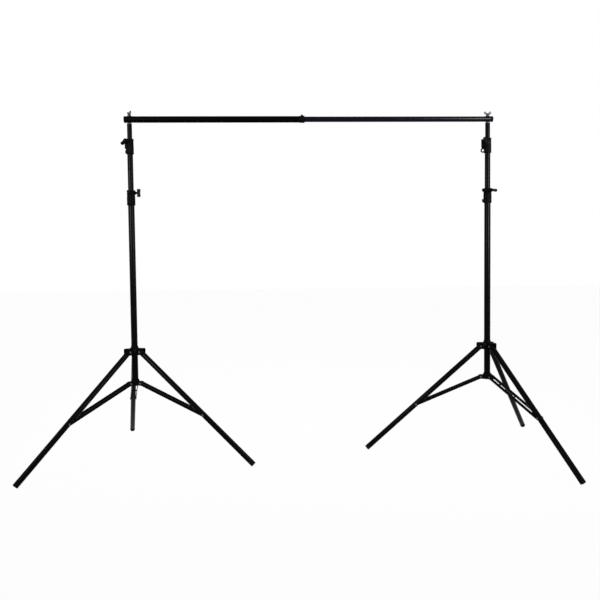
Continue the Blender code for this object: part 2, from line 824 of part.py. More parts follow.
def stud_plug_mesh(seat_top, nut_top, name):
    """The plug in the top tube, its seat under the bar and the stud through the bar."""
    tube_top = seat_top - SEAT_HEIGHT - PLUG_FLANGE - GAP
    plug = TOP_TUBE_DIAMETER / 2 - TUBE_WALL - GAP
    stud = STUD_DIAMETER / 2
    profile = [
        (0, nut_top + STUD_ABOVE_NUT),
        (stud - STUD_EDGE, nut_top + STUD_ABOVE_NUT),
        (stud, nut_top + STUD_ABOVE_NUT - STUD_EDGE),
        (stud, seat_top),
        (SEAT_DIAMETER / 2, seat_top),
        (TOP_TUBE_DIAMETER / 2, seat_top - SEAT_HEIGHT),
        (TOP_TUBE_DIAMETER / 2, tube_top + GAP),
        (plug, tube_top + GAP),
        (plug, tube_top - PLUG_DEPTH),
        (0, tube_top - PLUG_DEPTH),
    ]
    return finished_mesh(turned(profile), name)


def washer_mesh(bottom):
    inner = STUD_DIAMETER / 2 + GAP
    shape = pipe(WASHER_DIAMETER / 2, inner, bottom, bottom + WASHER_THICKNESS, BUSH_STEPS)
    return finished_mesh(shape, "washer")


def touch(point, centre, radius, side):
    """The angle on a circle at which a line from a point touches it."""
    away = Vector(point) - Vector(centre)
    return math.atan2(away.y, away.x) + side * math.acos(radius / away.length)


def wing(side):
    """One wing: a leaning plate with a round lobe at its tip."""
    centre = (WING_SPAN / 2 - WING_LOBE_RADIUS, WING_RISE - WING_LOBE_RADIUS)
    low = (WING_ROOT, WING_ROOT_BOTTOM)
    high = (WING_ROOT, WING_ROOT_TOP)
    start = touch(low, centre, WING_LOBE_RADIUS, 1)
    end = touch(high, centre, WING_LOBE_RADIUS, -1) + math.tau
    lobe = arc(centre, WING_LOBE_RADIUS, start, end, SMALL_STEPS)
    outline = [(side * x, z) for x, z in [low] + lobe + [high]]
    return plate(outline, -WING_THICKNESS / 2, WING_THICKNESS / 2)


def wing_nut_mesh():
    """A wing nut standing on z = 0, its wings along X."""
    hub = turned(
        [
            (0, NUT_HUB_HEIGHT),
            (NUT_TOP_DIAMETER / 2, NUT_HUB_HEIGHT),
            (NUT_HUB_DIAMETER / 2, 0),
            (0, 0),
        ],
        BUSH_STEPS,
    )
    hole = cylinder(STUD_DIAMETER / 2 + GAP, -WING_RISE, WING_RISE * 2)
    shape = combined(hub, [wing(1), wing(-1)], [hole])
    return finished_mesh(shape, "wing_nut")


# Pieces of the crossbar, drawn along Z from the middle of the bar and laid along X afterwards


def stud_hole(place):
    radius = STUD_DIAMETER / 2 + STUD_HOLE_CLEARANCE
    reach = BAR_OUTER_DIAMETER
    return cylinder(radius, -reach, reach, "Z", (place, 0, 0), BUSH_STEPS)


def outer_end():
    """Where the outer bar tube ends, inside the lock ring."""
    return BAR_JOINT + LOCK_RING_LENGTH / 2 - LOCK_RING_NOSE


def bar_outer_mesh():
    radius = BAR_OUTER_DIAMETER / 2
    start = -BAR_LENGTH / 2 + CAP_THICKNESS + GAP
    tube = moved(pipe(radius, radius - TUBE_WALL, start, outer_end()), along("X"))
    screw = cylinder(LOCK_SCREW_DIAMETER / 2 + GAP, 0, radius * 2, "Z", (BAR_JOINT, 0, 0))
    shape = combined(tube, cuts=[stud_hole(-COLUMN_X), screw])
    return finished_mesh(shape, "bar_outer")


def bar_inner_mesh():
    radius = BAR_INNER_DIAMETER / 2
    end = BAR_LENGTH / 2 - CAP_THICKNESS - GAP
    tube = moved(pipe(radius, radius - TUBE_WALL, BAR_JOINT - BAR_OVERLAP, end), along("X"))
    shape = combined(tube, cuts=[stud_hole(COLUMN_X)])
    return finished_mesh(shape, "bar_inner")


def bar_bush_mesh():
    """The guide on the inner bar tube's hidden end, running in the outer bar tube."""
    outer = BAR_OUTER_DIAMETER / 2 - TUBE_WALL - GAP
    inner = BAR_INNER_DIAMETER / 2 - TUBE_WALL - GAP
    end = BAR_JOINT - BAR_OVERLAP - GAP
    profile = [
        (inner, end + BUSH_LENGTH),
        (inner, end),
        (outer, end),
        (outer, end - BUSH_WALL),
        (inner - BUSH_WALL, end - BUSH_WALL),
        (inner - BUSH_WALL, end + BUSH_LENGTH),
    ]
    return finished_mesh(moved(turned(profile, BUSH_STEPS, ring=True), along("X")), "bar_bush")


def cap_mesh(diameter, side, name):
    """An end cap whose outer face is the end of the bar. side is -1 for left, 1 for right."""
    radius = diameter / 2 + CAP_LIP
    spigot = diameter / 2 - TUBE_WALL - GAP
    face = BAR_LENGTH / 2
    profile = [
        (0, face),
        (radius - CAP_EDGE, face),
        (radius, face - CAP_EDGE),
        (radius, face - CAP_THICKNESS),
        (spigot, face - CAP_THICKNESS),
        (spigot, face - CAP_THICKNESS - CAP_SPIGOT),
        (0, face - CAP_THICKNESS - CAP_SPIGOT),
    ]
    shape = moved(turned(profile), along("X"))
    if side < 0:
        moved(shape, Matrix.Rotation(math.pi, 4, "Z"))
    return finished_mesh(shape, name)


def lock_ring_mesh():
    """A ring pressed over the outer bar tube's end, closing round the inner one."""
    bore = BAR_OUTER_DIAMETER / 2 + GAP
    outer = bore + LOCK_RING_WALL
    nose_bore = BAR_INNER_DIAMETER / 2 + GAP
    start = BAR_JOINT - LOCK_RING_LENGTH / 2
    end = BAR_JOINT + LOCK_RING_LENGTH / 2
    edge = LOCK_RING_WALL / 2
    profile = [
        (nose_bore, end),
        (outer - edge, end),
        (outer, end - edge),
        (outer, start + edge),
        (outer - edge, start),
        (bore, start),
        (bore, outer_end() + GAP),
        (nose_bore, outer_end() + GAP),
    ]
    ring = moved(turned(profile, ring=True), along("X"))
    place = (BAR_JOINT, 0, 0)
    boss = cylinder(
        LOCK_BOSS_DIAMETER / 2, bore + edge, outer + LOCK_BOSS_HEIGHT, "Z", place, SMALL_STEPS
    )
    hole = cylinder(LOCK_SCREW_DIAMETER / 2 + GAP, 0, outer * 2, "Z", place)
    return finished_mesh(combined(ring, [boss], [hole]), "bar_lock_ring")


def lock_screw_mesh():
    """The lock screw, its tip just clear of the inner bar tube, drawn about its own axis."""
    base = BAR_OUTER_DIAMETER / 2 + GAP + LOCK_RING_WALL + LOCK_BOSS_HEIGHT + GAP
    top = base + LOCK_SCREW_HEAD_HEIGHT
    head = LOCK_SCREW_HEAD_DIAMETER / 2
    shank = LOCK_SCREW_DIAMETER / 2
    tip = BAR_INNER_DIAMETER / 2 + GAP
    profile = [
        (0, top),
        (head * LOCK_SCREW_CROWN, top),
        (head, top - LOCK_SCREW_HEAD_HEIGHT / 3),
        (head, base),
        (shank, base),
        (shank, tip),
        (0, tip),
    ]
    slot_half = LOCK_SCREW_SLOT / 2
    slot = box((-head * 2, -slot_half, top - shank / 2), (head * 2, slot_half, top + head))
    return finished_mesh(combined(turned(profile, BUSH_STEPS), cuts=[slot]), "bar_lock_screw")


# Placing


def frame(name, parent, place=(0, 0, 0), turn=0.0):
    """An empty that places what it carries."""
    empty = bpy.data.objects.new(name, None)
    empty.empty_display_size = 0.05
    empty.location = place
    empty.rotation_euler = (0, 0, turn)
    empty.parent = parent
    bpy.data.collections["frames"].objects.link(empty)
    return empty


def piece(name, mesh, material, parent, place=(0, 0, 0), turns=(0, 0, 0)):
    """A named piece of the stand. Meshes may be shared between copies."""
    obj = bpy.data.objects.new(name, mesh)
    if not mesh.materials:
        mesh.materials.append(material)
    obj.location = place
    obj.rotation_euler = turns
    obj.parent = parent
    bpy.data.collections["backdrop_stand"].objects.link(obj)
    return obj


def footprint():
    """The object's extent on the floor in X and Y, from the rims of the six leg tips."""
    end = PIVOT_RADIUS + LEG_LENGTH * math.sin(LEG_ANGLE)
    lows = [math.inf, math.inf]
    highs = [-math.inf, -math.inf]
    for side, column in (("left", -COLUMN_X), ("right", COLUMN_X)):
        for number in range(len(LEG_NAMES)):
            turn = math.radians(TURNS[side]["legs"]) + math.tau * number / len(LEG_NAMES)
            outward = Vector((math.cos(turn), math.sin(turn), 0))
            sideways = Vector((-math.sin(turn), math.cos(turn), 0))
            for step in range(RIM_STEPS):
                angle = math.tau * step / RIM_STEPS
                rim = (
                    Vector((column, 0, 0))
                    + outward * (end + TIP_RADIUS * math.cos(LEG_ANGLE) * math.cos(angle))
                    + sideways * TIP_RADIUS * math.sin(angle)
                )
                for axis in (0, 1):
                    lows[axis] = min(lows[axis], rim[axis])
                    highs[axis] = max(highs[axis], rim[axis])
    return lows, highs


def add_tripod(side, stand, meshes, looks):
    """The folding half of one stand: hubs, legs and braces."""
    turn = math.radians(TURNS[side]["legs"])
    piece(f"{side}_base_tube", meshes["base_tube"], looks["tube"], stand)
    fixed = frame(f"{side}_brace_hub", stand, (0, 0, BRACE_PIVOT_HEIGHT), turn)
    piece(f"{side}_brace_collar", meshes["brace_collar"], looks["plastic"], fixed)
    sliding = frame(f"{side}_spider_hub", stand, (0, 0, SPIDER_HEIGHT), turn)
    piece(f"{side}_spider", meshes["spider"], looks["plastic"], sliding)
    piece(
        f"{side}_spider_knob",
        meshes["spider_knob"],
        looks["knob"],
        sliding,
        (0, 0, SPIDER_KNOB_HEIGHT),
        (0, 0, SPIDER_KNOB_TURN),
    )
    for letter, angle in zip(LEG_NAMES, leg_turns()):
        upper = frame(f"{side}_leg_frame_{letter}", sliding, turn=angle)
        lower = frame(f"{side}_brace_frame_{letter}", fixed, turn=angle)
        pivot = (PIVOT_RADIUS, 0, 0)
        splay = (0, -LEG_ANGLE, 0)
        piece(f"{side}_leg_{letter}", meshes["leg"], looks["tube"], upper, pivot, splay)
        piece(f"{side}_leg_tip_{letter}", meshes["leg_tip"], looks["rubber"], upper, pivot, splay)
        drop = (0, BRACE_ANGLE, 0)
        piece(f"{side}_brace_{letter}", meshes["brace"], looks["tube"], lower, pivot, drop)


def add_column(side, stand, meshes, looks):
    """The telescoping half of one stand, up to its wing nut."""
    turns = {name: math.radians(angle) for name, angle in TURNS[side].items()}
    low = (0, 0, LOWER_COLLAR_BOTTOM)
    high = (0, 0, UPPER_COLLAR_BOTTOM)
    piece(
        f"{side}_lower_collar",
        meshes["lower_collar"],
        looks["plastic"],
        stand,
        low,
        (0, 0, turns["lower_knob"]),
    )
    piece(
        f"{side}_lower_knob",
        meshes["lower_knob"],
        looks["knob"],
        stand,
        (0, 0, LOWER_COLLAR_BOTTOM + LOWER_KNOB_HEIGHT),
        (turns["lower_knob_spin"], 0, turns["lower_knob"]),
    )
    piece(f"{side}_middle_tube", meshes["middle_tube"], looks["tube"], stand)
    piece(f"{side}_middle_bush", meshes["middle_bush"], looks["plastic"], stand)
    piece(
        f"{side}_upper_collar",
        meshes["upper_collar"],
        looks["plastic"],
        stand,
        high,
        (0, 0, turns["upper_knob"]),
    )
    piece(
        f"{side}_upper_knob",
        meshes["upper_knob"],
        looks["knob"],
        stand,
        (0, 0, UPPER_COLLAR_BOTTOM + UPPER_KNOB_HEIGHT),
        (turns["upper_knob_spin"], 0, turns["upper_knob"]),
    )
    bar_radius = (BAR_OUTER_DIAMETER if side == "left" else BAR_INNER_DIAMETER) / 2
    seat_top = BAR_HEIGHT - bar_radius - GAP
    tube_top = seat_top - SEAT_OVER_TUBE
    washer_bottom = BAR_HEIGHT + bar_radius + GAP
    nut_bottom = washer_bottom + WASHER_THICKNESS + GAP
    tube = drawn_tube_mesh(
        TOP_TUBE_DIAMETER, tube_top - TOP_TUBE_LENGTH, tube_top, f"{side}_top_tube"
    )
    bush = bush_mesh(
        MIDDLE_TUBE_DIAMETER, TOP_TUBE_DIAMETER, tube_top - TOP_TUBE_LENGTH, f"{side}_top_bush"
    )
    plug = stud_plug_mesh(seat_top, nut_bottom + NUT_HUB_HEIGHT, f"{side}_stud_plug")
    piece(f"{side}_top_tube", tube, looks["tube"], stand)
    piece(f"{side}_top_bush", bush, looks["plastic"], stand)
    piece(f"{side}_stud_plug", plug, looks["zinc"], stand)
    piece(f"{side}_washer", meshes["washer"], looks["zinc"], stand, (0, 0, washer_bottom))
    piece(
        f"{side}_wing_nut",
        meshes["wing_nut"],
        looks["zinc"],
        stand,
        (0, 0, nut_bottom),
        (0, 0, turns["wing_nut"]),
    )


def add_crossbar(parent, looks):
    bar = frame("crossbar", parent, (0, 0, BAR_HEIGHT))
    piece("bar_outer", bar_outer_mesh(), looks["bar"], bar)
    piece("bar_inner", bar_inner_mesh(), looks["bar"], bar)
    piece("bar_bush", bar_bush_mesh(), looks["plastic"], bar)
    piece("bar_cap_left", cap_mesh(BAR_OUTER_DIAMETER, -1, "cap_left"), looks["plastic"], bar)
    piece("bar_cap_right", cap_mesh(BAR_INNER_DIAMETER, 1, "cap_right"), looks["plastic"], bar)
    piece("bar_lock_ring", lock_ring_mesh(), looks["plastic"], bar)
    piece("bar_lock_screw", lock_screw_mesh(), looks["zinc"], bar, (BAR_JOINT, 0, 0))


def shared_meshes():
    """Meshes that both stands use."""
    return {
        "base_tube": base_tube_mesh(),
        "brace_collar": brace_collar_mesh(),
        "spider": spider_mesh(),
        "spider_knob": spider_knob_mesh(),
        "leg": leg_mesh(),
        "leg_tip": tip_mesh(),
        "brace": brace_mesh(),
        "lower_collar": lower_collar_mesh(),
        "lower_knob": t_knob_mesh(BASE_TUBE_DIAMETER, MIDDLE_TUBE_DIAMETER, "lower_knob"),
        "middle_tube": drawn_tube_mesh(
            MIDDLE_TUBE_DIAMETER, MIDDLE_TUBE_BOTTOM, MIDDLE_TUBE_TOP, "middle_tube"
        ),
        "middle_bush": bush_mesh(
            BASE_TUBE_DIAMETER, MIDDLE_TUBE_DIAMETER, MIDDLE_TUBE_BOTTOM, "middle_bush"
        ),
        "upper_collar": upper_collar_mesh(),
        "upper_knob": t_knob_mesh(MIDDLE_TUBE_DIAMETER, TOP_TUBE_DIAMETER, "upper_knob"),
        "washer": washer_mesh(0),
        "wing_nut": wing_nut_mesh(),
    }


def main():
    clear_scene()
    new_collection("backdrop_stand")
    new_collection("frames")
    new_collection("cutters")
    looks = {
        "tube": finish("black_powder_coat", (0.012, 0.012, 0.013), 0.38, 0.0),
        "bar": finish("black_anodised_tube", (0.014, 0.014, 0.02), 0.3, 0.6),
        "plastic": finish("black_moulded_plastic", (0.014, 0.014, 0.015), 0.5, 0.0),
        "knob": finish("black_knob_plastic", (0.01, 0.01, 0.011), 0.42, 0.0),
        "rubber": finish("black_rubber", (0.02, 0.02, 0.02), 0.8, 0.0),
        "zinc": finish("zinc_plated_steel", (0.55, 0.55, 0.56), 0.3, 1.0),
    }
    lows, highs = footprint()
    middle = [(low + high) / 2 for low, high in zip(lows, highs)]
    origin = frame("backdrop_stand_frame", None, (-middle[0], -middle[1], 0))
    meshes = shared_meshes()
    for side, column in (("left", -COLUMN_X), ("right", COLUMN_X)):
        stand = frame(f"{side}_stand", origin, (column, 0, 0))
        add_tripod(side, stand, meshes, looks)
        add_column(side, stand, meshes, looks)
    add_crossbar(origin, looks)


main()
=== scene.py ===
"""Backdrop stand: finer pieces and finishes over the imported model, and the studio round it.

Metres throughout. The file is laid out as an add-on and run as a script.
"""

import json
import math

import bmesh
import bpy
from bpy.props import FloatProperty, FloatVectorProperty, IntProperty, PointerProperty
from mathutils import Matrix, Vector


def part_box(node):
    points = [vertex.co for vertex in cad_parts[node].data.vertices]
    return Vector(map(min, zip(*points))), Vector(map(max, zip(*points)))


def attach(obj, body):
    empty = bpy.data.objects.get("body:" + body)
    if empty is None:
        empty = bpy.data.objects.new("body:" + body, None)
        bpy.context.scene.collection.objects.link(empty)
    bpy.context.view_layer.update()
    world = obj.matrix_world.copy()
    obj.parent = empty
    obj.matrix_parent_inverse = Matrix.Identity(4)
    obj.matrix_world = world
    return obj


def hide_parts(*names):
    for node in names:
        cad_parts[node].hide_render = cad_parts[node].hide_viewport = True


bl_info = {
    "name": "Backdrop Stand",
    "version": (1, 0, 0),
    "blender": (4, 5, 0),
    "location": "View3D > Sidebar > Backdrop Stand",
    "description": "Builds the pieces, finishes and studio of a telescoping backdrop stand",
    "category": "Object",
}

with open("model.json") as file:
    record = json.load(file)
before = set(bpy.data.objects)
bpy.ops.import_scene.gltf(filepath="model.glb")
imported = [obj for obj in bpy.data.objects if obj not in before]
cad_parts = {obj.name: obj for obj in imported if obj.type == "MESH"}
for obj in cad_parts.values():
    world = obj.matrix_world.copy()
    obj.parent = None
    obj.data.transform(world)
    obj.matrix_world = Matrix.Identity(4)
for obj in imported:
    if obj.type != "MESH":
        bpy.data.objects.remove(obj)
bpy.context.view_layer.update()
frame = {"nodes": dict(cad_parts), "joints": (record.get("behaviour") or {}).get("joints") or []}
JOINTS = {joint["name"]: joint for joint in frame["joints"]}

SIDES = ("left", "right")
LEGS = ("a", "b", "c")
UP = Vector((0, 0, 1))
QUARTER = math.pi / 2
WHITE = (1.0, 1.0, 1.0, 1.0)
# Points closer than this are one
WELD = 0.000002
# The clearance between parts that fit into each other, as in the solids
GAP = 0.0003
# The radius of a thread's ridge, as a share of its pitch
RIDGE = 0.42
# A wing nut melts into one skin of cells this wide, smoothed in this many rounds
MELT_GRAIN, MELT_ROUNDS = 0.00042, 5
# How far joined shapes reach into each other
OVERLAP = 0.001
# Where the lock knob sits round the spider, counted from leg a, and how far its boss stands out
LOCK_KNOB_AT, LOCK_BOSS = math.radians(300), 0.001
# From upright to along another axis
LAID_ALONG = {"X": Matrix.Rotation(QUARTER, 4, "Y"), "Y": Matrix.Rotation(-QUARTER, 4, "X")}

# How the loosened knobs and wing nuts of the two stands are left, in degrees
TURNED_TO = {
    "left": {"lower_knob": 0.0, "upper_knob": 120.0, "wing_nut": 125.0},
    "right": {"lower_knob": 90.0, "upper_knob": 34.0, "wing_nut": 0.0},
}


# Settings that a user would change


def linear(code):
    """An sRGB hex colour as the linear values that Blender works in."""
    channels = [int(code[place : place + 2], 16) / 255 for place in (0, 2, 4)]
    return tuple(c / 12.92 if c <= 0.04045 else ((c + 0.055) / 1.055) ** 2.4 for c in channels)


def size(name, description, default):
    return FloatProperty(
        name=name, description=description, default=default, precision=4, unit="LENGTH"
    )


def tally(name, description, default, least=3):
    return IntProperty(name=name, description=description, default=default, min=least)


def slant(name, description, degrees):
    return FloatProperty(
        name=name, description=description, default=math.radians(degrees), subtype="ANGLE"
    )


def power(name, description, watts):
    return FloatProperty(name=name, description=description, default=watts, unit="POWER")


def share(name, description, default):
    return FloatProperty(
        name=name, description=description, default=default, min=0.0, max=1.0, subtype="FACTOR"
    )


def colour(name, description, code):
    return FloatVectorProperty(
        name=name, description=description, default=linear(code), min=0, max=1, subtype="COLOR"
    )


class TubeSizes(bpy.types.PropertyGroup):
    base: size("Base tube", "Outside diameter of a stand's base tube", 0.034)
    middle: size("Middle tube", "Outside diameter of a stand's middle tube", 0.030)
    top: size("Top tube", "Outside diameter of a stand's top tube", 0.026)
    leg: size("Leg", "Outside diameter of a leg", 0.029)
    bar_outer: size("Outer bar tube", "Outside diameter of the crossbar's left half", 0.034)
    bar_inner: size("Inner bar tube", "Outside diameter of the crossbar's right half", 0.029)
    wall: size("Wall", "Wall of every tube", 0.0015)
    rim: size("Rim rounding", "Rounding of a tube's cut ends", 0.0005)
    sides: tally("Sides", "Faces round a tube", 72, 12)


class LegSizes(bpy.types.PropertyGroup):
    length: size("Leg", "From a leg's pivot to the end of its tip", 0.8605)
    splay: slant("Splay", "Angle between a leg and its column", 47.5)
    knuckle: size("Knuckle", "Width of a leg's rounded upper end", 0.0285)
    tip: size("Tip", "Length of the rubber tip that shows", 0.028)
    tip_groove: size("Tip groove", "Depth of the grooves round a rubber tip", 0.0005)
    brace_rivet: size("Brace rivet", "From a leg's pivot to its brace's rivet", 0.4858)
    brace: size("Brace", "Length of a brace between its pivots", 0.391)
    strap_height: size("Strap height", "Height of a brace's straps", 0.016)
    strap: size("Strap", "Thickness of a brace's straps", 0.0025)
    spacer: size("Spacer", "From a brace's hub pivot to its spacer pin", 0.195)
    spacer_diameter: size("Spacer pin", "Diameter of the spacer pin", 0.008)


class HubSizes(bpy.types.PropertyGroup):
    pivot: size("Pivot radius", "From a column's centre to the leg pivots", 0.036)
    bore: size("Bore", "Radius of the hole for the base tube", 0.0173)
    neck: size("Neck", "Radius of the spider's sleeve", 0.0205)
    fork: size("Fork", "Width between the two cheeks of a clevis", 0.0296)
    cheek: size("Cheek", "Thickness of a clevis's cheeks and roof", 0.0035)
    reach: size("Reach", "From a column's centre to a clevis's outer end", 0.056)
    above: size("Clevis top", "Height of a clevis over its pivot", 0.020)
    below: size("Clevis bottom", "Depth of a clevis under its pivot", 0.016)
    corner: size("Clevis corner", "Rounding of a cheek's corners", 0.006)
    sleeve_top: size("Sleeve top", "Height of the sleeve over the pivots", 0.034)
    sleeve_bottom: size("Sleeve bottom", "Depth of the sleeve under the pivots", 0.018)
    shoulder: size("Shoulder", "How far the shoulder stands out from the sleeve", 0.009)
    collar: size("Brace collar", "Diameter of the fixed hub", 0.048)
    collar_top: size("Collar top", "Height of the fixed hub over its pivots", 0.022)
    collar_bottom: size("Collar bottom", "Depth of the fixed hub under its pivots", 0.012)
    lug: size("Lug radius", "Radius of the fixed hub's lugs round their pivots", 0.0115)
    edge: size("Moulded edge", "Rounding of the moulded edges", 0.0009)
    rivet: size("Rivet head", "Diameter of a rivet's head", 0.0125)
    rivet_height: size("Rivet crown", "Height of a rivet's head", 0.0025)


class CollarSizes(bpy.types.PropertyGroup):
    height: size("Height", "Height of a lock collar", 0.080)
    wall: size("Wall", "Wall of a lock collar", 0.0042)
    rim: size("Rim", "How far a collar's rims stand out", 0.0012)
    rim_height: size("Rim height", "Height of a collar's rims", 0.005)
    seat: size("Seat", "Depth to which the lower tube's end is seated", 0.050)
    lug_width: size("Lug width", "Width of the lugs and of the block", 0.020)
    lug_reach: size("Lug reach", "From the centre to a lower collar's lugs", 0.036)
    lug_height: size("Lug height", "Height of each of the two lugs", 0.017)
    lug_margin: size("Lug margin", "From a collar's end to its lug", 0.003)
    block_reach: size("Block reach", "From the centre to an upper collar's block", 0.033)
    block_bottom: size("Block bottom", "Height of the block's lower end", 0.031)
    block_top: size("Block top", "Height of the block's upper end", 0.076)
    loop_centre: size("Loop centre", "From the centre to the middle of the ring loop", 0.0252)
    loop_height: size("Loop height", "Height of the middle of the ring loop", 0.0160)
    loop: size("Loop", "Outer radius of the ring loop", 0.0130)
    loop_hole: size("Loop hole", "Radius of the hole in the ring loop", 0.0062)
    loop_wire: size("Loop thickness", "Thickness of the ring loop", 0.006)
    ribs: tally("Ribs", "Grip ribs round a collar", 26)
    rib: size("Rib", "How far the grip ribs stand out", 0.0006)


class KnobSizes(bpy.types.PropertyGroup):
    lower: size("Lower knob", "Height of the knob on a lower collar", 0.066)
    upper: size("Upper knob", "Height of the knob on an upper collar", 0.061)
    boss: size("Boss", "Diameter of the boss under a T-knob", 0.019)
    boss_length: size("Boss length", "How far the boss stands out", 0.005)
    stem: size("Stem", "Diameter of a T-knob's stem", 0.0125)
    stem_length: size("Stem length", "From the boss to the cross bar", 0.005)
    screw: size("Screw", "Diameter of a T-knob's screw", 0.009)
    bar: size("Cross bar", "Length of the cross bar", 0.044)
    bar_depth: size("Bar depth", "Depth of the cross bar, outward", 0.019)
    bar_width: size("Bar width", "Width of the cross bar", 0.016)
    waist: share("Waist", "Thickness of the cross bar's middle as a share", 0.82)
    round: size("Round knob", "Diameter of the spider's lock knob", 0.021)
    round_length: size("Round knob length", "Length of the spider's lock knob", 0.015)
    round_height: size("Round knob height", "Height of the lock knob over the pivots", 0.010)
    flutes: tally("Flutes", "Flutes round the lock knob", 6)
    flute: size("Flute", "Depth of the lock knob's flutes", 0.0018)


class TopSizes(bpy.types.PropertyGroup):
    seat: size("Seat", "Diameter of the seat under the bar", 0.018)
    seat_height: size("Seat height", "Height of the seat's cone", 0.006)
    flange: size("Flange", "Height of the plug's flange on the tube", 0.002)
    stud: size("Stud", "Diameter of the threaded stud", 0.008)
    pitch: size("Thread pitch", "Distance between the stud's threads", 0.00125)
    washer: size("Washer", "Diameter of the washer", 0.022)
    hub: size("Nut hub", "Diameter of a wing nut's hub at its foot", 0.019)
    hub_top: size("Nut top", "Diameter of a wing nut's hub at its top", 0.014)
    hub_height: size("Nut height", "Height of a wing nut's hub", 0.012)
    span: size("Wing span", "Span of a wing nut", 0.042)
    rise: size("Wing rise", "Height of a wing nut's wings", 0.024)
    wing: size("Wing", "Thickness of a wing", 0.0038)
    lobe: size("Wing lobe", "Radius of a wing's round end", 0.007)


class BarSizes(bpy.types.PropertyGroup):
    cap: size("End cap", "Length of an end cap that shows", 0.011)
    cap_lip: size("Cap lip", "How far an end cap stands out round its tube", 0.0008)
    cap_edge: size("Cap edge", "Rounding of an end cap", 0.0022)
    ring: size("Lock ring", "Length of the ring at the joint", 0.028)
    ring_wall: size("Ring wall", "Wall of the ring at the joint", 0.002)
    ring_nose: size("Ring nose", "Length of the ring past the outer bar tube", 0.006)
    screw: size("Lock screw", "Diameter of the lock screw's head", 0.011)
    screw_height: size("Screw head", "Height of the lock screw's head", 0.0045)
    slot: size("Screw slot", "Width of the lock screw's slot", 0.001)
    boss: size("Screw boss", "Diameter of the boss under the lock screw", 0.012)
    boss_height: size("Boss height", "Height of the boss under the lock screw", 0.0015)


class Finishes(bpy.types.PropertyGroup):
    coat: colour("Powder coat", "Steel tubes and straps", "020203")
    coat_worn: colour("Worn coat", "Powder coat burnished at its edges", "242426")
    satin_dye: colour("Satin anodising", "The crossbar's outer tube", "020203")
    gloss_dye: colour("Gloss anodising", "The crossbar's inner tube", "04040A")
    nylon: colour("Nylon", "Moulded hubs and collars", "030304")
    nylon_worn: colour("Scuffed nylon", "Moulded edges scuffed pale", "2C2C2E")
    knob: colour("Knob plastic", "T-knobs and lock knobs", "020203")
    rubber: colour("Rubber", "Leg tips", "0A0A0A")
    dust: colour("Dust", "Dust on the rubber tips", "55524E")
    zinc: colour("Zinc plate", "The right stand's wing nut and the lock screw", "3C3D41")
    zinc_dull: colour("Dull zinc", "Where the plating has gone dull", "2C2D30")
    grey_zinc: colour("Grey zinc", "Studs, washers and rivets, dulled by handling", "4A4B4E")
    grey_zinc_worn: colour("Worn grey zinc", "Darker clouds on them", "333437")
    # Painted shade: a darker copy of the zinc plate for the left stand's wing nut, which is the
    # same zinc as the right one; the second colour is its lighter clouds
    black_zinc: colour("Black zinc", "The left stand's wing nut", "242427")
    black_zinc_worn: colour("Worn black zinc", "Where black plating has worn", "3A3A3D")


class StageSettings(bpy.types.PropertyGroup):
    lens: FloatProperty(name="Lens", description="Focal length", default=40.186, unit="CAMERA")
    camera: FloatVectorProperty(
        name="Camera",
        description="Place of the camera",
        default=(-0.193562, -3.679501, 1.0355),
        subtype="TRANSLATION",
        unit="LENGTH",
    )
    aim: FloatVectorProperty(
        name="Aim",
        description="Camera's turn to the right, dip and tilt",
        default=(0.0447, 0.0477, -0.0112),
        subtype="EULER",
    )
    ambient: FloatProperty(name="Ambient", description="Strength of the sky light", default=0.3)
    left_box: power("Left box", "Power of the left soft box", 42.0)
    right_box: power("Right box", "Power of the right soft box", 62.0)
    spread: slant("Spread", "Angle that a soft box's grid lets through", 70)
    floor: colour("Floor", "The floor of the studio", "F2F2F2")


class BackdropStand(bpy.types.PropertyGroup):
    tubes: PointerProperty(type=TubeSizes)
    legs: PointerProperty(type=LegSizes)
    hubs: PointerProperty(type=HubSizes)
    collars: PointerProperty(type=CollarSizes)
    knobs: PointerProperty(type=KnobSizes)
    tops: PointerProperty(type=TopSizes)
    bar: PointerProperty(type=BarSizes)
    finishes: PointerProperty(type=Finishes)
    stage: PointerProperty(type=StageSettings)


def stand():
    return bpy.context.scene.backdrop_stand


# Places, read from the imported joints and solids


def standing(axis, place):
    """A frame at a place: X outward, Y along a level axis, Z up."""
    axis = Vector(axis).normalized()
    turn = Matrix((axis.cross(UP), axis, UP)).transposed().to_4x4()
    return Matrix.Translation(place) @ turn


def hub_frame(side, node):
    """A hub's frame: on its column at the height of its pivots, X towards leg a."""
    joint = JOINTS[f"{side}_{'leg' if node == 'spider' else 'brace'}_a_hinge"]
    sign = 1 if node == "spider" else -1
    outer = standing(Vector(joint["axis"]) * sign, joint["pos_m"])
    return outer @ Matrix.Translation((-stand().hubs.pivot, 0, 0))


def leg_frame(side, letter):
    """A leg's own frame: the leg runs down -Z from its pivot, Y along its hinge."""
    joint = JOINTS[f"{side}_leg_{letter}_hinge"]
    splay = Matrix.Rotation(-stand().legs.splay, 4, "Y")
    return standing(joint["axis"], joint["pos_m"]) @ splay


def brace_frame(side, letter):
    """A brace's own frame: the straps run along X from the hub's pivot to the leg's rivet."""
    joint = JOINTS[f"{side}_brace_{letter}_hinge"]
    rivet = leg_frame(side, letter) @ Vector((0, 0, -stand().legs.brace_rivet))
    along = (rivet - Vector(joint["pos_m"])).normalized()
    hinge = -Vector(joint["axis"]).normalized()
    turn = Matrix((along, hinge, along.cross(hinge))).transposed().to_4x4()
    return Matrix.Translation(joint["pos_m"]) @ turn


def knob_frame(side, knob):
    """A knob's frame: X outward along its screw from the column's centre, turned as it is left."""
    joint = JOINTS[f"{side}_{knob}_turn"]
    spin = math.radians(TURNED_TO[side].get(knob, 0.0))
    level = standing(UP.cross(Vector(joint["axis"])), joint["pos_m"])
    return level @ Matrix.Rotation(spin, 4, "X")


def collar_frame(side, collar):
    """A lock collar's frame: on its column at the collar's foot, X towards its knob."""
    joint = JOINTS[f"{side}_{collar.replace('collar', 'knob')}_turn"]
    place = Vector(joint["pos_m"])
    place.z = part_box(f"{side}_{collar}")[0][2]
    return standing(UP.cross(Vector(joint["axis"])), place)


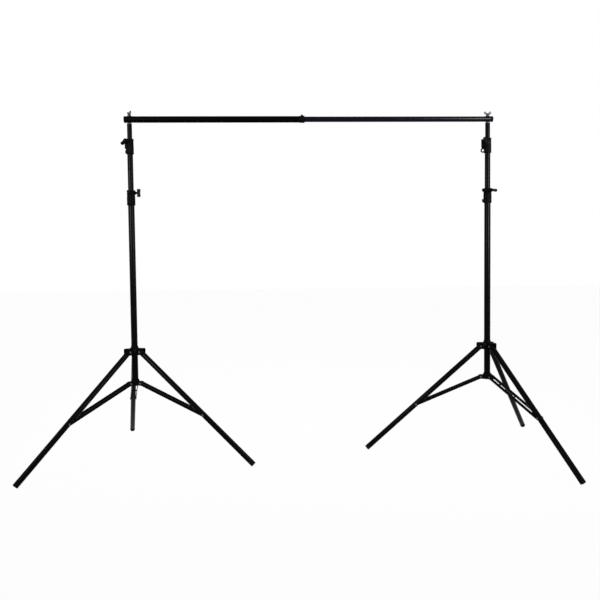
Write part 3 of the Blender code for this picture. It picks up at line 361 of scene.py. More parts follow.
def column_frame(side, height=0.0):
    """On a stand's column at a height, unturned."""
    place = Vector(JOINTS[f"{side}_wing_nut_turn"]["pos_m"])
    return Matrix.Translation((place.x, place.y, height))


def bar_frame():
    """At the crossbar's joint, Z along the bar to the right and X up."""
    place = JOINTS["bar_lock_screw_turn"]["pos_m"]
    turn = Matrix((UP, (0, -1, 0), (1, 0, 0))).transposed().to_4x4()
    return Matrix.Translation(place) @ turn


# Shapes, each a bmesh in its piece's own frame until it is finished


def rounded(corners, radius, steps=4, cyclic=True):
    """An outline with its corners rounded as far as its edges allow."""
    if not radius:
        return [Vector(corner) for corner in corners]
    points = []
    number = len(corners)
    for index, corner in enumerate(corners):
        here = Vector(corner)
        if not cyclic and index in (0, number - 1):
            points.append(here)
            continue
        before = Vector(corners[index - 1]) - here
        after = Vector(corners[(index + 1) % number]) - here
        bend = before.angle(after)
        # Within about a degree of straight there is nothing to round
        if bend > math.pi - 0.02:
            points.append(here)
            continue
        # An arc takes less than half of each edge, so that two arcs never meet
        run = min(radius / math.tan(bend / 2), before.length * 0.45, after.length * 0.45)
        first = before.normalized() * run
        last = after.normalized() * run
        centre = (first + last).normalized() * run / math.cos(bend / 2)
        arm = first - centre
        for step in range(steps + 1):
            swung = arm.slerp(last - centre, step / steps).normalized() * arm.length
            points.append(here + centre + swung)
    return points


def arc(centre, radius, start, end, steps):
    """Points round a centre from one angle to another."""
    across, up = centre
    turns = [start + (end - start) * step / steps for step in range(steps + 1)]
    return [Vector((across + radius * math.cos(t), up + radius * math.sin(t))) for t in turns]


def skinned(shape, pairs, sides):
    """Faces between pairs of rows of points, where a row is a ring or a single point."""
    for lower, upper in pairs:
        for side in range(sides):
            corners = [
                lower[side % len(lower)],
                lower[(side + 1) % len(lower)],
                upper[(side + 1) % len(upper)],
                upper[side % len(upper)],
            ]
            corners = list(dict.fromkeys(corners))
            if len(corners) > 2:
                shape.faces.new(corners)
    bmesh.ops.recalc_face_normals(shape, faces=shape.faces)
    return shape


def turned(profile, sides, ring=False):
    """A profile of (radius, height) points turned about Z."""
    shape = bmesh.new()
    turns = [math.tau * side / sides for side in range(sides)]
    rows = []
    for radius, height in profile:
        if radius < WELD:
            rows.append([shape.verts.new((0, 0, height))])
            continue
        places = [(radius * math.cos(t), radius * math.sin(t), height) for t in turns]
        rows.append([shape.verts.new(place) for place in places])
    pairs = list(zip(rows, rows[1:]))
    if ring:
        pairs.append((rows[-1], rows[0]))
    return skinned(shape, pairs, sides)


def lathed(corners, edge, steps, sides, ring=False):
    """Corners of (radius, height), rounded and turned about Z: a solid, or a ring with a hole."""
    return turned(rounded(corners, edge, steps, cyclic=ring), sides, ring)


def softened(shape, edges, edge, steps):
    """A shape with some of its edges rounded."""
    settings = {"offset": edge, "segments": steps, "profile": 0.5, "affect": "EDGES"}
    bmesh.ops.bevel(shape, geom=edges, **settings)
    return shape


def block(low, high, edge, steps=3):
    """A box between two corners with all its edges rounded."""
    low, high = Vector(low), Vector(high)
    shape = bmesh.new()
    bmesh.ops.create_cube(shape, size=1.0)
    bmesh.ops.scale(shape, vec=high - low, verts=shape.verts)
    bmesh.ops.translate(shape, vec=(low + high) / 2, verts=shape.verts)
    return softened(shape, shape.edges[:], edge, steps)


def plate(outline, low, high, edge, steps=2):
    """An outline of (x, z) points with its thickness along Y and its two faces' edges rounded."""
    shape = bmesh.new()
    face = shape.faces.new([shape.verts.new((x, low, z)) for x, z in outline])
    pulled = bmesh.ops.extrude_face_region(shape, geom=[face])
    corners = [part for part in pulled["geom"] if isinstance(part, bmesh.types.BMVert)]
    bmesh.ops.translate(shape, vec=(0, high - low, 0), verts=corners)
    bmesh.ops.recalc_face_normals(shape, faces=shape.faces)
    across = abs(high - low) / 2
    edges = [e for e in shape.edges if abs(e.verts[0].co.y - e.verts[1].co.y) < across]
    return softened(shape, edges, edge, steps)


def moved(shape, matrix):
    shape.transform(matrix)
    return shape


def shifted(shape, x=0.0, z=0.0):
    return moved(shape, Matrix.Translation((x, 0.0, z)))


def spun(shape, turn):
    return moved(shape, Matrix.Rotation(turn, 4, "Z"))


def pin(radius, start, end, edge, sides=32, axis="Y"):
    """A round pin with softened ends along an axis."""
    corners = [(0, start), (radius, start), (radius, end), (0, end)]
    return moved(lathed(corners, edge, 3, sides), LAID_ALONG[axis])


def together(shapes):
    """Several shapes as one, each still closed in itself."""
    whole = bmesh.new()
    for shape in shapes:
        mesh = bpy.data.meshes.new("part")
        shape.to_mesh(mesh)
        shape.free()
        whole.from_mesh(mesh)
        bpy.data.meshes.remove(mesh)
    return whole


def linked(name, data):
    """A new object in the scene."""
    obj = bpy.data.objects.new(name, data)
    bpy.context.scene.collection.objects.link(obj)
    return obj


def as_object(shape, name="working"):
    mesh = bpy.data.meshes.new(name)
    shape.to_mesh(mesh)
    shape.free()
    return linked(name, mesh)


def evaluated(obj):
    """The evaluated mesh of a working object."""
    graph = bpy.context.evaluated_depsgraph_get()
    return bpy.data.meshes.new_from_object(obj.evaluated_get(graph))


def combined(base, joins=(), cuts=(), melted=False):
    """A shape with others joined and cut, and melted into one skin of small faces if asked."""
    body = as_object(base)
    tools = [("UNION", as_object(other)) for other in joins]
    tools += [("DIFFERENCE", as_object(other)) for other in cuts]
    for operation, tool in tools:
        modifier = body.modifiers.new(operation.lower(), "BOOLEAN")
        modifier.operation = operation
        modifier.solver = "EXACT"
        modifier.object = tool
    if melted:
        skin = body.modifiers.new("skin", "REMESH")
        skin.mode = "VOXEL"
        skin.voxel_size = MELT_GRAIN
        soften = body.modifiers.new("soften", "SMOOTH")
        soften.factor = 0.5
        soften.iterations = MELT_ROUNDS
    mesh = evaluated(body)
    shape = bmesh.new()
    shape.from_mesh(mesh)
    bpy.data.meshes.remove(mesh)
    for obj in [body] + [tool for _, tool in tools]:
        bpy.data.objects.remove(obj, do_unlink=True)
    bmesh.ops.remove_doubles(shape, verts=shape.verts, dist=WELD)
    bmesh.ops.recalc_face_normals(shape, faces=shape.faces)
    return shape


def settle(obj, place, body, nodes, sharp=32.0):
    """Puts a piece's mesh in place and hands the piece to the frame.

    The coordinates from before it is placed are kept in own_place, for patterns along a tube.
    """
    mesh = obj.data
    own = mesh.attributes.new("own_place", "FLOAT_VECTOR", "POINT")
    flat = [0.0] * (3 * len(mesh.vertices))
    mesh.vertices.foreach_get("co", flat)
    own.data.foreach_set("vector", flat)
    mesh.transform(place)
    mesh.shade_smooth()
    mesh.set_sharp_from_angle(angle=math.radians(sharp))
    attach(obj, body)
    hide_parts(*nodes)
    return obj


def piece(name, shape, place, body, nodes, finish, sharp=32.0):
    """A finished piece from a shape in its own frame. Edges bent more than sharp stay crisp."""
    obj = as_object(shape, name)
    obj.data.materials.append(bpy.data.materials[finish])
    return settle(obj, place, body, nodes, sharp)


def hard_piece(*given, **more):
    """A piece with flat faces, shaded flat up to its rounded edges."""
    obj = piece(*given, **more)
    modifier = obj.modifiers.new("flat faces", "WEIGHTED_NORMAL")
    modifier.keep_sharp = True
    return obj


# Geometry node trees for what repeats or follows a rule


def fill(tree, node, inputs):
    """Gives each named input of a node a value, or the socket or node that feeds it."""
    for name, value in inputs.items():
        if isinstance(value, bpy.types.Node):
            value = value.outputs[0]
        if isinstance(value, bpy.types.NodeSocket):
            tree.links.new(value, node.inputs[name])
        else:
            node.inputs[name].default_value = value


def add(tree, kind, inputs=None, **settings):
    """Adds a node with its settings and what its inputs get."""
    made = tree.nodes.new(kind)
    for name, value in settings.items():
        setattr(made, name, value)
    fill(tree, made, inputs or {})
    return made


def new_tree(name, lengths, counts=()):
    """A geometry node tree with named inputs, and the sockets that give them."""
    tree = bpy.data.node_groups.new(name, "GeometryNodeTree")
    tree.interface.new_socket("Geometry", in_out="OUTPUT", socket_type="NodeSocketGeometry")
    kinds = {"Geometry": "Geometry"} | dict.fromkeys(lengths, "Float")
    kinds |= dict.fromkeys(counts, "Int") | {"Material": "Material"}
    for label, kind in kinds.items():
        tree.interface.new_socket(label, in_out="INPUT", socket_type=f"NodeSocket{kind}")
    return tree, add(tree, "NodeGroupInput").outputs


def close_tree(tree, given, geometry):
    """Ends a tree in real geometry with its finish."""
    real = add(tree, "GeometryNodeRealizeInstances", {"Geometry": geometry})
    inputs = {"Geometry": real, "Material": given["Material"]}
    add(tree, "NodeGroupOutput", {0: add(tree, "GeometryNodeSetMaterial", inputs)})


def lifted(tree, geometry, height):
    """Geometry moved up by a height."""
    lift = add(tree, "ShaderNodeCombineXYZ", {"Z": height})
    return add(tree, "GeometryNodeTransform", {"Geometry": geometry, "Translation": lift})


def joined(tree, parts):
    """Several geometries as one."""
    whole = add(tree, "GeometryNodeJoinGeometry")
    for part in parts:
        tree.links.new(part.outputs[0], whole.inputs[0])
    return whole


def make_tube_tree():
    """A drawn tube about Z: the section of its wall is swept round a circle."""
    tree, given = new_tree("drawn_tube", ("Diameter", "Wall", "Start", "End", "Rim"), ("Sides",))
    wall, ends = {0: given["Diameter"], 1: given["Wall"]}, {0: given["End"], 1: given["Start"]}
    inner = add(tree, "ShaderNodeMath", wall, operation="SUBTRACT")
    middle = add(tree, "ShaderNodeMath", {0: inner, 1: 0.5}, operation="MULTIPLY")
    length = add(tree, "ShaderNodeMath", ends, operation="SUBTRACT")
    doubled = add(tree, "ShaderNodeMath", ends, operation="ADD")
    centre = add(tree, "ShaderNodeMath", {0: doubled, 1: 0.5}, operation="MULTIPLY")
    inputs = {"Resolution": given["Sides"], "Radius": middle}
    circle = add(tree, "GeometryNodeCurvePrimitiveCircle", inputs)
    inputs = {"Width": given["Wall"], "Height": length}
    section = add(tree, "GeometryNodeCurvePrimitiveQuadrilateral", inputs)
    inputs = {"Curve": section, "Count": 3, "Radius": given["Rim"], "Limit Radius": True}
    eased = add(tree, "GeometryNodeFilletCurve", inputs, mode="POLY")
    swept = add(tree, "GeometryNodeCurveToMesh", {"Curve": circle, "Profile Curve": eased})
    close_tree(tree, given, lifted(tree, swept, centre))


def make_rivet_tree():
    """Rivets on given points: each point's axis and grip say how its rivet lies."""
    tree, given = new_tree("rivets", ("Head", "Crown", "Shank"))
    points = given["Geometry"]
    named = "GeometryNodeInputNamedAttribute"
    axis = add(tree, named, {"Name": "axis"}, data_type="FLOAT_VECTOR")
    grip = add(tree, named, {"Name": "grip"}, data_type="FLOAT")
    turn = add(tree, "FunctionNodeAlignRotationToVector", {"Vector": axis}, axis="Z")
    radius = add(tree, "ShaderNodeMath", {0: given["Head"], 1: 0.5}, operation="MULTIPLY")
    ball = add(tree, "GeometryNodeMeshUVSphere", {"Segments": 28, "Rings": 16, "Radius": 1.0})
    crown = add(tree, "ShaderNodeCombineXYZ", {"X": radius, "Y": radius, "Z": given["Crown"]})
    head = add(tree, "GeometryNodeTransform", {"Geometry": ball, "Scale": crown})
    ends = []
    for half in (0.5, -0.5):
        reach = add(tree, "ShaderNodeMath", {0: grip, 1: half}, operation="MULTIPLY")
        inputs = {"Vector": axis, "Scale": reach}
        offset = add(tree, "ShaderNodeVectorMath", inputs, operation="SCALE")
        inputs = {"Geometry": points, "Offset": offset}
        ends.append(add(tree, "GeometryNodeSetPosition", inputs))
    inputs = {"Points": joined(tree, ends), "Instance": head, "Rotation": turn}
    heads = add(tree, "GeometryNodeInstanceOnPoints", inputs)
    thick = add(tree, "ShaderNodeMath", {0: given["Shank"], 1: 0.5}, operation="MULTIPLY")
    bar = add(tree, "GeometryNodeMeshCylinder", {"Vertices": 20, "Depth": 1.0, "Radius": thick})
    stretch = add(tree, "ShaderNodeCombineXYZ", {"X": 1.0, "Y": 1.0, "Z": grip})
    inputs = {"Points": points, "Instance": bar, "Rotation": turn, "Scale": stretch}
    shanks = add(tree, "GeometryNodeInstanceOnPoints", inputs)
    close_tree(tree, given, joined(tree, (heads, shanks)))


def make_rib_tree():
    """Grip ribs round Z: one rib with faded ends, set round a circle."""
    tree, given = new_tree("grip_ribs", ("Ring", "Proud", "Width", "Start", "End"), ("Count",))
    low, high = (add(tree, "ShaderNodeCombineXYZ", {"Z": given[end]}) for end in ("Start", "End"))
    line = add(tree, "GeometryNodeCurvePrimitiveLine", {"Start": low, "End": high})
    cut = add(tree, "GeometryNodeResampleCurve", {"Curve": line, "Count": 25})
    # A rib keeps its full height until close to its two ends, where it rounds off to a sliver
    fade = add(tree, "GeometryNodeSplineParameter").outputs["Factor"]
    steps = [("SUBTRACT", 0.5), ("MULTIPLY", 2.0), ("ABSOLUTE", 0.0), ("POWER", 14.0)]
    steps += [("MULTIPLY", -1.0), ("ADD", 1.0), ("SQRT", 0.0), ("MAXIMUM", 0.02)]
    for operation, value in steps:
        fade = add(tree, "ShaderNodeMath", {0: fade, 1: value}, operation=operation)
    half = add(tree, "ShaderNodeMath", {0: given["Width"], 1: 0.5}, operation="MULTIPLY")
    round_one = add(tree, "GeometryNodeCurvePrimitiveCircle", {"Resolution": 12, "Radius": 1.0})
    oval_size = add(tree, "ShaderNodeCombineXYZ", {"X": given["Proud"], "Y": half, "Z": 1.0})
    oval = add(tree, "GeometryNodeTransform", {"Geometry": round_one, "Scale": oval_size})
    inputs = {"Curve": cut, "Profile Curve": oval, "Scale": fade, "Fill Caps": True}
    rib = add(tree, "GeometryNodeCurveToMesh", inputs)
    inputs = {"Vertices": given["Count"], "Radius": given["Ring"]}
    ring = add(tree, "GeometryNodeMeshCircle", inputs)
    outward = {"Vector": add(tree, "GeometryNodeInputPosition")}
    facing = add(tree, "FunctionNodeAlignRotationToVector", outward, axis="X", pivot_axis="Z")
    inputs = {"Points": ring, "Instance": rib, "Rotation": facing}
    close_tree(tree, given, add(tree, "GeometryNodeInstanceOnPoints", inputs))


def make_thread_tree():
    """A screw thread about Z: its ridge is swept along a helix."""
    tree, given = new_tree("screw_thread", ("Diameter", "Pitch", "Start", "End"))
    inputs = {0: given["End"], 1: given["Start"]}
    length = add(tree, "ShaderNodeMath", inputs, operation="SUBTRACT")
    turns = add(tree, "ShaderNodeMath", {0: length, 1: given["Pitch"]}, operation="DIVIDE")
    ridge_size = add(tree, "ShaderNodeMath", {0: given["Pitch"], 1: RIDGE}, operation="MULTIPLY")
    crest = add(tree, "ShaderNodeMath", {0: given["Diameter"], 1: 0.5}, operation="MULTIPLY")
    radius = add(tree, "ShaderNodeMath", {0: crest, 1: ridge_size}, operation="SUBTRACT")
    inputs = {"Resolution": 28, "Rotations": turns, "Height": length}
    inputs |= {"Start Radius": radius, "End Radius": radius}
    helix = add(tree, "GeometryNodeCurveSpiral", inputs)
    inputs = {"Resolution": 4, "Radius": ridge_size}
    ridge = add(tree, "GeometryNodeCurvePrimitiveCircle", inputs)
    inputs = {"Curve": helix, "Profile Curve": ridge, "Fill Caps": True}
    thread = add(tree, "GeometryNodeCurveToMesh", inputs)
    close_tree(tree, given, lifted(tree, thread, given["Start"]))


def grown(name, tree, values, place, body, nodes, finish, points=None):
    """A finished piece from a geometry node tree, its result taken as a plain mesh."""
    obj = linked(name, points or bpy.data.meshes.new(name))
    modifier = obj.modifiers.new(tree, "NODES")
    modifier.node_group = bpy.data.node_groups[tree]
    values = dict(values, Material=bpy.data.materials[finish])
    for socket in modifier.node_group.interface.items_tree:
        if socket.in_out == "INPUT" and socket.name in values:
            modifier[socket.identifier] = values[socket.name]
    mesh = evaluated(obj)
    obj.modifiers.clear()
    obj.data = mesh
    mesh.name = name
    return settle(obj, place, body, nodes)


def rivets(name, places, place, body, nodes):
    """Rivets at (place, axis, grip), each with two crowned heads."""
    sizes = stand().hubs
    points = bpy.data.meshes.new("rivet_points")
    points.from_pydata([spot for spot, _, _ in places], [], [])
    axes = points.attributes.new("axis", "FLOAT_VECTOR", "POINT")
    axes.data.foreach_set("vector", [value for _, axis, _ in places for value in axis])
    grips = points.attributes.new("grip", "FLOAT", "POINT")
    grips.data.foreach_set("value", [grip for _, _, grip in places])
    values = {"Head": sizes.rivet, "Crown": sizes.rivet_height, "Shank": sizes.rivet / 2}
    return grown(name, "rivets", values, place, body, nodes, "grey_zinc_plate", points)


def tube(name, diameter, start, end, place, body, nodes, finish):
    """A drawn tube from one height to another in its own frame."""
    sizes = stand().tubes
    values = {"Diameter": diameter, "Wall": sizes.wall, "Start": start, "End": end}
    values |= {"Rim": sizes.rim, "Sides": sizes.sides}
    return grown(name, "drawn_tube", values, place, body, nodes, finish)


# Finishes. Pattern sizes are in metres on the real piece


def spots(place, wide, detail):
    """Inputs of a noise whose spots are so many metres wide."""
    return {"Vector": place, "Scale": 1 / wide, "Detail": detail}


def limits(low, high, to_low=0.0, to_high=1.0):
    """Inputs that take one span of values to another."""
    return {"From Min": low, "From Max": high, "To Min": to_low, "To Max": to_high}


def new_finish(name, roughness, metallic, level, drawn=False):
    """A material, its shader and coordinates: a drawn tube's own ones, so that lines follow it."""
    material = bpy.data.materials.new(name)
    material.use_nodes = True
    tree = material.node_tree
    shader = tree.nodes["Principled BSDF"]
    inputs = {"Roughness": roughness, "Metallic": metallic, "Specular IOR Level": level}
    fill(tree, shader, inputs)
    if drawn:
        own = add(tree, "ShaderNodeAttribute", attribute_name="own_place").outputs["Vector"]
    else:
        own = add(tree, "ShaderNodeTexCoord").outputs["Object"]
    return tree, shader, own


def edge_wear(tree, own, radius, patch):
    """How far an edge is worn: its distance from a rounded normal, broken up in patches."""
    eased = add(tree, "ShaderNodeBevel", {"Radius": radius}, samples=4)
    inputs = {0: eased, 1: add(tree, "ShaderNodeNewGeometry").outputs["Normal"]}
    agree = add(tree, "ShaderNodeVectorMath", inputs, operation="DOT_PRODUCT")
    # Wear begins where the two normals are 10 degrees apart and is full at 31
    inputs = {"Value": agree.outputs["Value"]} | limits(0.985, 0.86)
    edge = add(tree, "ShaderNodeMapRange", inputs)
    patches = add(tree, "ShaderNodeTexNoise", spots(own, patch, 4.0))
    kept = add(tree, "ShaderNodeMapRange", {"Value": patches} | limits(0.42, 0.66))
    inputs = {0: edge, 1: kept}
    return add(tree, "ShaderNodeMath", inputs, operation="MULTIPLY", use_clamp=True)


def paint(tree, shader, factor, plain, worn):
    """Mixes the shader's colour from its plain one to its worn one."""
    inputs = {"Factor": factor, "A": (*plain, 1.0), "B": (*worn, 1.0)}
    mixed = add(tree, "ShaderNodeMix", inputs, data_type="RGBA")
    fill(tree, shader, {"Base Color": mixed.outputs["Result"]})


def make_powder_coat():
    """Satin powder coat baked on steel tube: a faint orange peel and long rubbed streaks."""
    colours = stand().finishes
    tree, shader, own = new_finish("satin_powder_coat", 0.3, 0.0, 0.03, True)
    # Orange peel has hills 1 to 2 mm apart; they are drawn 3 mm apart so that they show
    peel = add(tree, "ShaderNodeTexNoise", spots(own, 0.003, 1.5))
    grit = add(tree, "ShaderNodeTexNoise", spots(own, 0.0007, 1.0))
    inputs = {0: grit, 1: 0.25, 2: peel}
    hills = add(tree, "ShaderNodeMath", inputs, operation="MULTIPLY_ADD")
    inputs = {"Height": hills, "Strength": 0.35, "Distance": 0.00008}
    bump = add(tree, "ShaderNodeBump", inputs)
    # Tubes rubbed lengthwise where they slide and are gripped
    drawn_out = add(tree, "ShaderNodeMapping", {"Vector": own, "Scale": (1.0, 1.0, 0.012)})
    streaks = add(tree, "ShaderNodeTexNoise", spots(drawn_out, 0.0011, 2.0))
    rubbed = add(tree, "ShaderNodeMapRange", {"Value": streaks} | limits(0.6, 0.74, 0.0, 0.45))
    clouds = add(tree, "ShaderNodeTexNoise", spots(own, 0.05, 3.0))
    here = add(tree, "ShaderNodeMapRange", {"Value": clouds} | limits(0.48, 0.7))
    streaked = add(tree, "ShaderNodeMath", {0: rubbed, 1: here}, operation="MULTIPLY")
    inputs = {0: streaked, 1: edge_wear(tree, own, 0.0008, 0.006)}
    worn = add(tree, "ShaderNodeMath", inputs, operation="MAXIMUM")
    paint(tree, shader, worn, colours.coat, colours.coat_worn)
    sheen = add(tree, "ShaderNodeMapRange", {"Value": clouds} | limits(0.3, 0.7, 0.26, 0.34))
    fill(tree, shader, {"Normal": bump, "Roughness": sheen})


def make_anodised(name, dye, roughness, level):
    """Aluminium tube, extruded and dyed black in its anodising: fine lines along its length."""
    tree, shader, own = new_finish(name, roughness, 0.0, level, True)
    drawn_out = add(tree, "ShaderNodeMapping", {"Vector": own, "Scale": (1.0, 1.0, 0.004)})
    # Extrusion lines are about 0.2 mm apart; they are drawn 0.7 mm apart so that they show
    lines = add(tree, "ShaderNodeTexNoise", spots(drawn_out, 0.0007, 2.0))
    bump = add(tree, "ShaderNodeBump", {"Height": lines, "Strength": 0.3, "Distance": 0.00003})
    clouds = add(tree, "ShaderNodeTexNoise", spots(own, 0.04, 3.0))
    inputs = {"Value": clouds} | limits(0.3, 0.7, roughness - 0.05, roughness + 0.06)
    sheen = add(tree, "ShaderNodeMapRange", inputs)
    fill(tree, shader, {"Normal": bump, "Roughness": sheen})
    faded = add(tree, "ShaderNodeMapRange", {"Value": lines} | limits(0.45, 0.8, 0.0, 0.5))
    paint(tree, shader, faded, dye, tuple(1.6 * channel for channel in dye))


def make_nylon():
    """Glass-filled nylon, moulded in a spark-eroded tool: a matt grain, scuffed at its edges."""
    colours = stand().finishes
    tree, shader, own = new_finish("glass_filled_nylon", 0.58, 0.0, 0.02)
    # The tool's grain is about 0.15 mm; it is drawn at 0.9 mm so that it shows
    inputs = {"Vector": own, "Scale": 1 / 0.0009}
    grain = add(tree, "ShaderNodeTexVoronoi", inputs, feature="SMOOTH_F1")
    bump = add(tree, "ShaderNodeBump", {"Height": grain, "Strength": 0.4, "Distance": 0.0001})
    flow = add(tree, "ShaderNodeTexNoise", spots(own, 0.012, 3.0))
    sheen = add(tree, "ShaderNodeMapRange", {"Value": flow} | limits(0.3, 0.7, 0.5, 0.66))
    fill(tree, shader, {"Normal": bump, "Roughness": sheen})
    paint(tree, shader, edge_wear(tree, own, 0.0010, 0.004), colours.nylon, colours.nylon_worn)


def make_abs():
    """ABS from a polished tool: smooth and a little shiny, greasier where it is gripped."""
    colours = stand().finishes
    tree, shader, own = new_finish("moulded_abs", 0.36, 0.0, 0.05)
    # Handling marks are a few mm across
    marks = add(tree, "ShaderNodeTexNoise", spots(own, 0.006, 4.0))
    bump = add(tree, "ShaderNodeBump", {"Height": marks, "Strength": 0.2, "Distance": 0.0001})
    sheen = add(tree, "ShaderNodeMapRange", {"Value": marks} | limits(0.35, 0.65, 0.28, 0.46))
    fill(tree, shader, {"Normal": bump, "Roughness": sheen})
    paint(tree, shader, edge_wear(tree, own, 0.0008, 0.004), colours.knob, colours.nylon_worn)


def make_rubber():
    """Moulded rubber: matt, finely pitted, and dusty where it stands on the floor."""
    colours = stand().finishes
    tree, shader, own = new_finish("moulded_rubber", 0.82, 0.0, 0.04)
    pits = add(tree, "ShaderNodeTexNoise", spots(own, 0.0012, 3.0))
    bump = add(tree, "ShaderNodeBump", {"Height": pits, "Strength": 0.5, "Distance": 0.0002})
    fill(tree, shader, {"Normal": bump})
    # The lowest 12 mm of a tip picks up dust
    height = add(tree, "ShaderNodeSeparateXYZ", {0: own}).outputs["Z"]
    low = add(tree, "ShaderNodeMapRange", {"Value": height} | limits(0.012, 0.0))
    smears = add(tree, "ShaderNodeTexNoise", spots(own, 0.004, 4.0))
    patches = add(tree, "ShaderNodeMapRange", {"Value": smears} | limits(0.4, 0.7, 0.0, 0.6))
    dusty = add(tree, "ShaderNodeMath", {0: low, 1: patches}, operation="MULTIPLY")
    paint(tree, shader, dusty, colours.rubber, colours.dust)


def make_zinc(name, plain, cloudy, roughness):
    """Zinc-plated steel, bright or dulled, or darkened as painted shade, with clouds and tumbled
    nicks.
    """
    tree, shader, own = new_finish(name, roughness, 1.0, 0.5)
    clouds = add(tree, "ShaderNodeTexNoise", spots(own, 0.005, 4.0))
    dull = add(tree, "ShaderNodeMapRange", {"Value": clouds} | limits(0.42, 0.68))
    paint(tree, shader, dull, plain, cloudy)
    inputs = {"Value": clouds} | limits(0.35, 0.7, roughness - 0.08, roughness + 0.1)
    sheen = add(tree, "ShaderNodeMapRange", inputs)
    # Tumbling leaves nicks about 0.5 mm apart
    nicks = add(tree, "ShaderNodeTexNoise", spots(own, 0.0005, 2.0))
    bump = add(tree, "ShaderNodeBump", {"Height": nicks, "Strength": 0.25, "Distance": 0.00004})
    fill(tree, shader, {"Normal": bump, "Roughness": sheen})


# Pieces


def leg_turns():
    """How far round a hub its three legs or braces are."""
    return [math.tau * number / len(LEGS) for number in range(len(LEGS))]


def strap_face():
    """How far a strap's outer face is from the middle of its leg."""
    return stand().hubs.fork / 2 + stand().legs.strap


def hub_rivets(grip):
    """The three rivets of a hub, as (place, axis, grip)."""
    places = []
    for turn in leg_turns():
        matrix = Matrix.Rotation(turn, 3, "Z")
        spot = matrix @ Vector((stand().hubs.pivot, 0, 0))
        places.append((spot, matrix @ Vector((0, 1, 0)), grip))
    return places


def brace_collar_shape():
    """The fixed hub: a cup round the base tube with three lugs and webs between them."""
    sizes = stand().hubs
    outer = sizes.collar / 2
    low, top = -sizes.collar_bottom, sizes.collar_top
    seat = top - 0.004
    cup = [
        (0, low),
        (outer, low),
        (outer, sizes.lug),
        (sizes.neck + 0.001, sizes.lug + 0.005),
        (sizes.neck, top),
        (sizes.bore, top),
        (sizes.bore, seat),
    ]
    profile = rounded(cup, sizes.edge, cyclic=False) + [Vector((0, seat))]
    half = stand().tubes.leg / 2
    nose = arc((sizes.pivot, 0), sizes.lug, -QUARTER, QUARTER, 20)
    root = sizes.bore + OVERLAP
    outline = [(root, -sizes.lug)] + nose + [(root, sizes.lug)]
    lugs = [spun(plate(outline, -half, half, sizes.edge, 3), turn) for turn in leg_turns()]
    web = (root, -0.0016, low + 0.001), (outer + 0.0025, 0.0016, 0.009)
    between = math.pi / len(LEGS)
    webs = [spun(block(*web, 0.0007), turn + between) for turn in leg_turns()]
    return combined(turned(profile, 64), lugs + webs)


def clevis_shape():
    """One arm of the spider: two cheeks with bosses for the rivet, and a roof."""
    sizes = stand().hubs
    inner = sizes.bore + 0.0015
    half = sizes.fork / 2
    corners = [
        (inner, -sizes.below),
        (sizes.reach, -sizes.below),
        (sizes.reach, sizes.above),
        (inner, sizes.above),
    ]
    outline = rounded(corners, sizes.corner, 6)
    outline = [point for point in outline if point.x > inner + sizes.corner * 0.6]
    outline = [Vector(corners[0])] + outline + [Vector(corners[3])]
    cheek = plate(outline, half, half + sizes.cheek, sizes.edge)
    other = plate(outline, -half - sizes.cheek, -half, sizes.edge)
    roof = block(
        (inner, -half - sizes.cheek * 0.5, sizes.above - sizes.cheek),
        (sizes.reach - sizes.corner * 0.35, half + sizes.cheek * 0.5, sizes.above - 0.0001),
        sizes.edge,
    )
    rib = block(
        (inner, -0.0015, sizes.above - OVERLAP),
        (sizes.reach - sizes.corner * 1.6, 0.0015, sizes.above + 0.0022),
        0.0007,
    )
    bosses = []
    for _ in SIDES:
        boss = pin(sizes.rivet * 0.72, half + OVERLAP, half + sizes.cheek + 0.0005, 0.0004, 40)
        bosses.append(shifted(boss, sizes.pivot))
    moved(bosses[0], Matrix.Scale(-1, 4, (0, 1, 0)))
    bmesh.ops.reverse_faces(bosses[0], faces=bosses[0].faces)
    return combined(cheek, [other, roof, rib] + bosses)


def spider_shape():
    """The sliding hub: a sleeve with a shoulder, three clevises and its knob's boss."""
    sizes = stand().hubs
    wide = sizes.neck + sizes.shoulder
    roof = sizes.above - sizes.cheek
    corners = [
        (sizes.bore, -sizes.sleeve_bottom),
        (sizes.neck, -sizes.sleeve_bottom),
        (sizes.neck, roof),
        (wide, roof),
        (wide, sizes.above - sizes.cheek / 2),
        (sizes.neck + sizes.shoulder * 0.2, sizes.above + 0.0015),
        (sizes.neck - 0.001, sizes.above + 0.006),
        (sizes.neck - 0.0017, sizes.sleeve_top),
        (sizes.bore, sizes.sleeve_top),
    ]
    sleeve = lathed(corners, 0.0012, 4, 64, ring=True)
    arms = [spun(clevis_shape(), turn) for turn in leg_turns()]
    boss = pin(0.008, sizes.bore + 0.0015, wide + LOCK_BOSS, 0.0006, 40, "X")
    shifted(boss, z=stand().knobs.round_height)
    return combined(sleeve, arms + [spun(boss, LOCK_KNOB_AT)])


def fluted_knob_shape():
    """The spider's small lock knob about Z, its foot at 0: smooth flutes and a crowned end."""
    sizes = stand().knobs
    radius = sizes.round / 2
    length = sizes.round_length
    side = rounded([(0, 0), (radius, 0), (radius, length), (0, length + 0.0004)], 0.0016, 5, False)
    # A shallow dish in the outer end
    dish = [(0.62, 0.0002), (0.56, -0.0008), (0, -0.0008)]
    dish = [Vector((radius * part, length + height)) for part, height in dish]
    shape = turned([side[0], Vector((radius * 0.6, 0))] + side[1:-1] + dish, 96)
    for vertex in shape.verts:
        out = Vector((vertex.co.x, vertex.co.y))
        if out.length > radius * 0.7:
            wave = (1 + math.cos(math.atan2(out.y, out.x) * sizes.flutes)) / 2
            out *= 1 - sizes.flute / radius * wave**1.6
            vertex.co.x, vertex.co.y = out
    return shape


def bar_section(place):
    """The thickness of a T-knob's cross bar, as a share, from its middle 0 to its end 1."""
    # It swells from the waist over three quarters of the way and rounds off over the last fifth
    swell = stand().knobs.waist
    swell += (1 - swell) * math.sin(QUARTER * min(1.0, place * 1.3))
    into_end = max(0.0, (place - 0.8) / 0.2)
    return swell * math.sqrt(max(0.0, 1 - into_end**2.2))


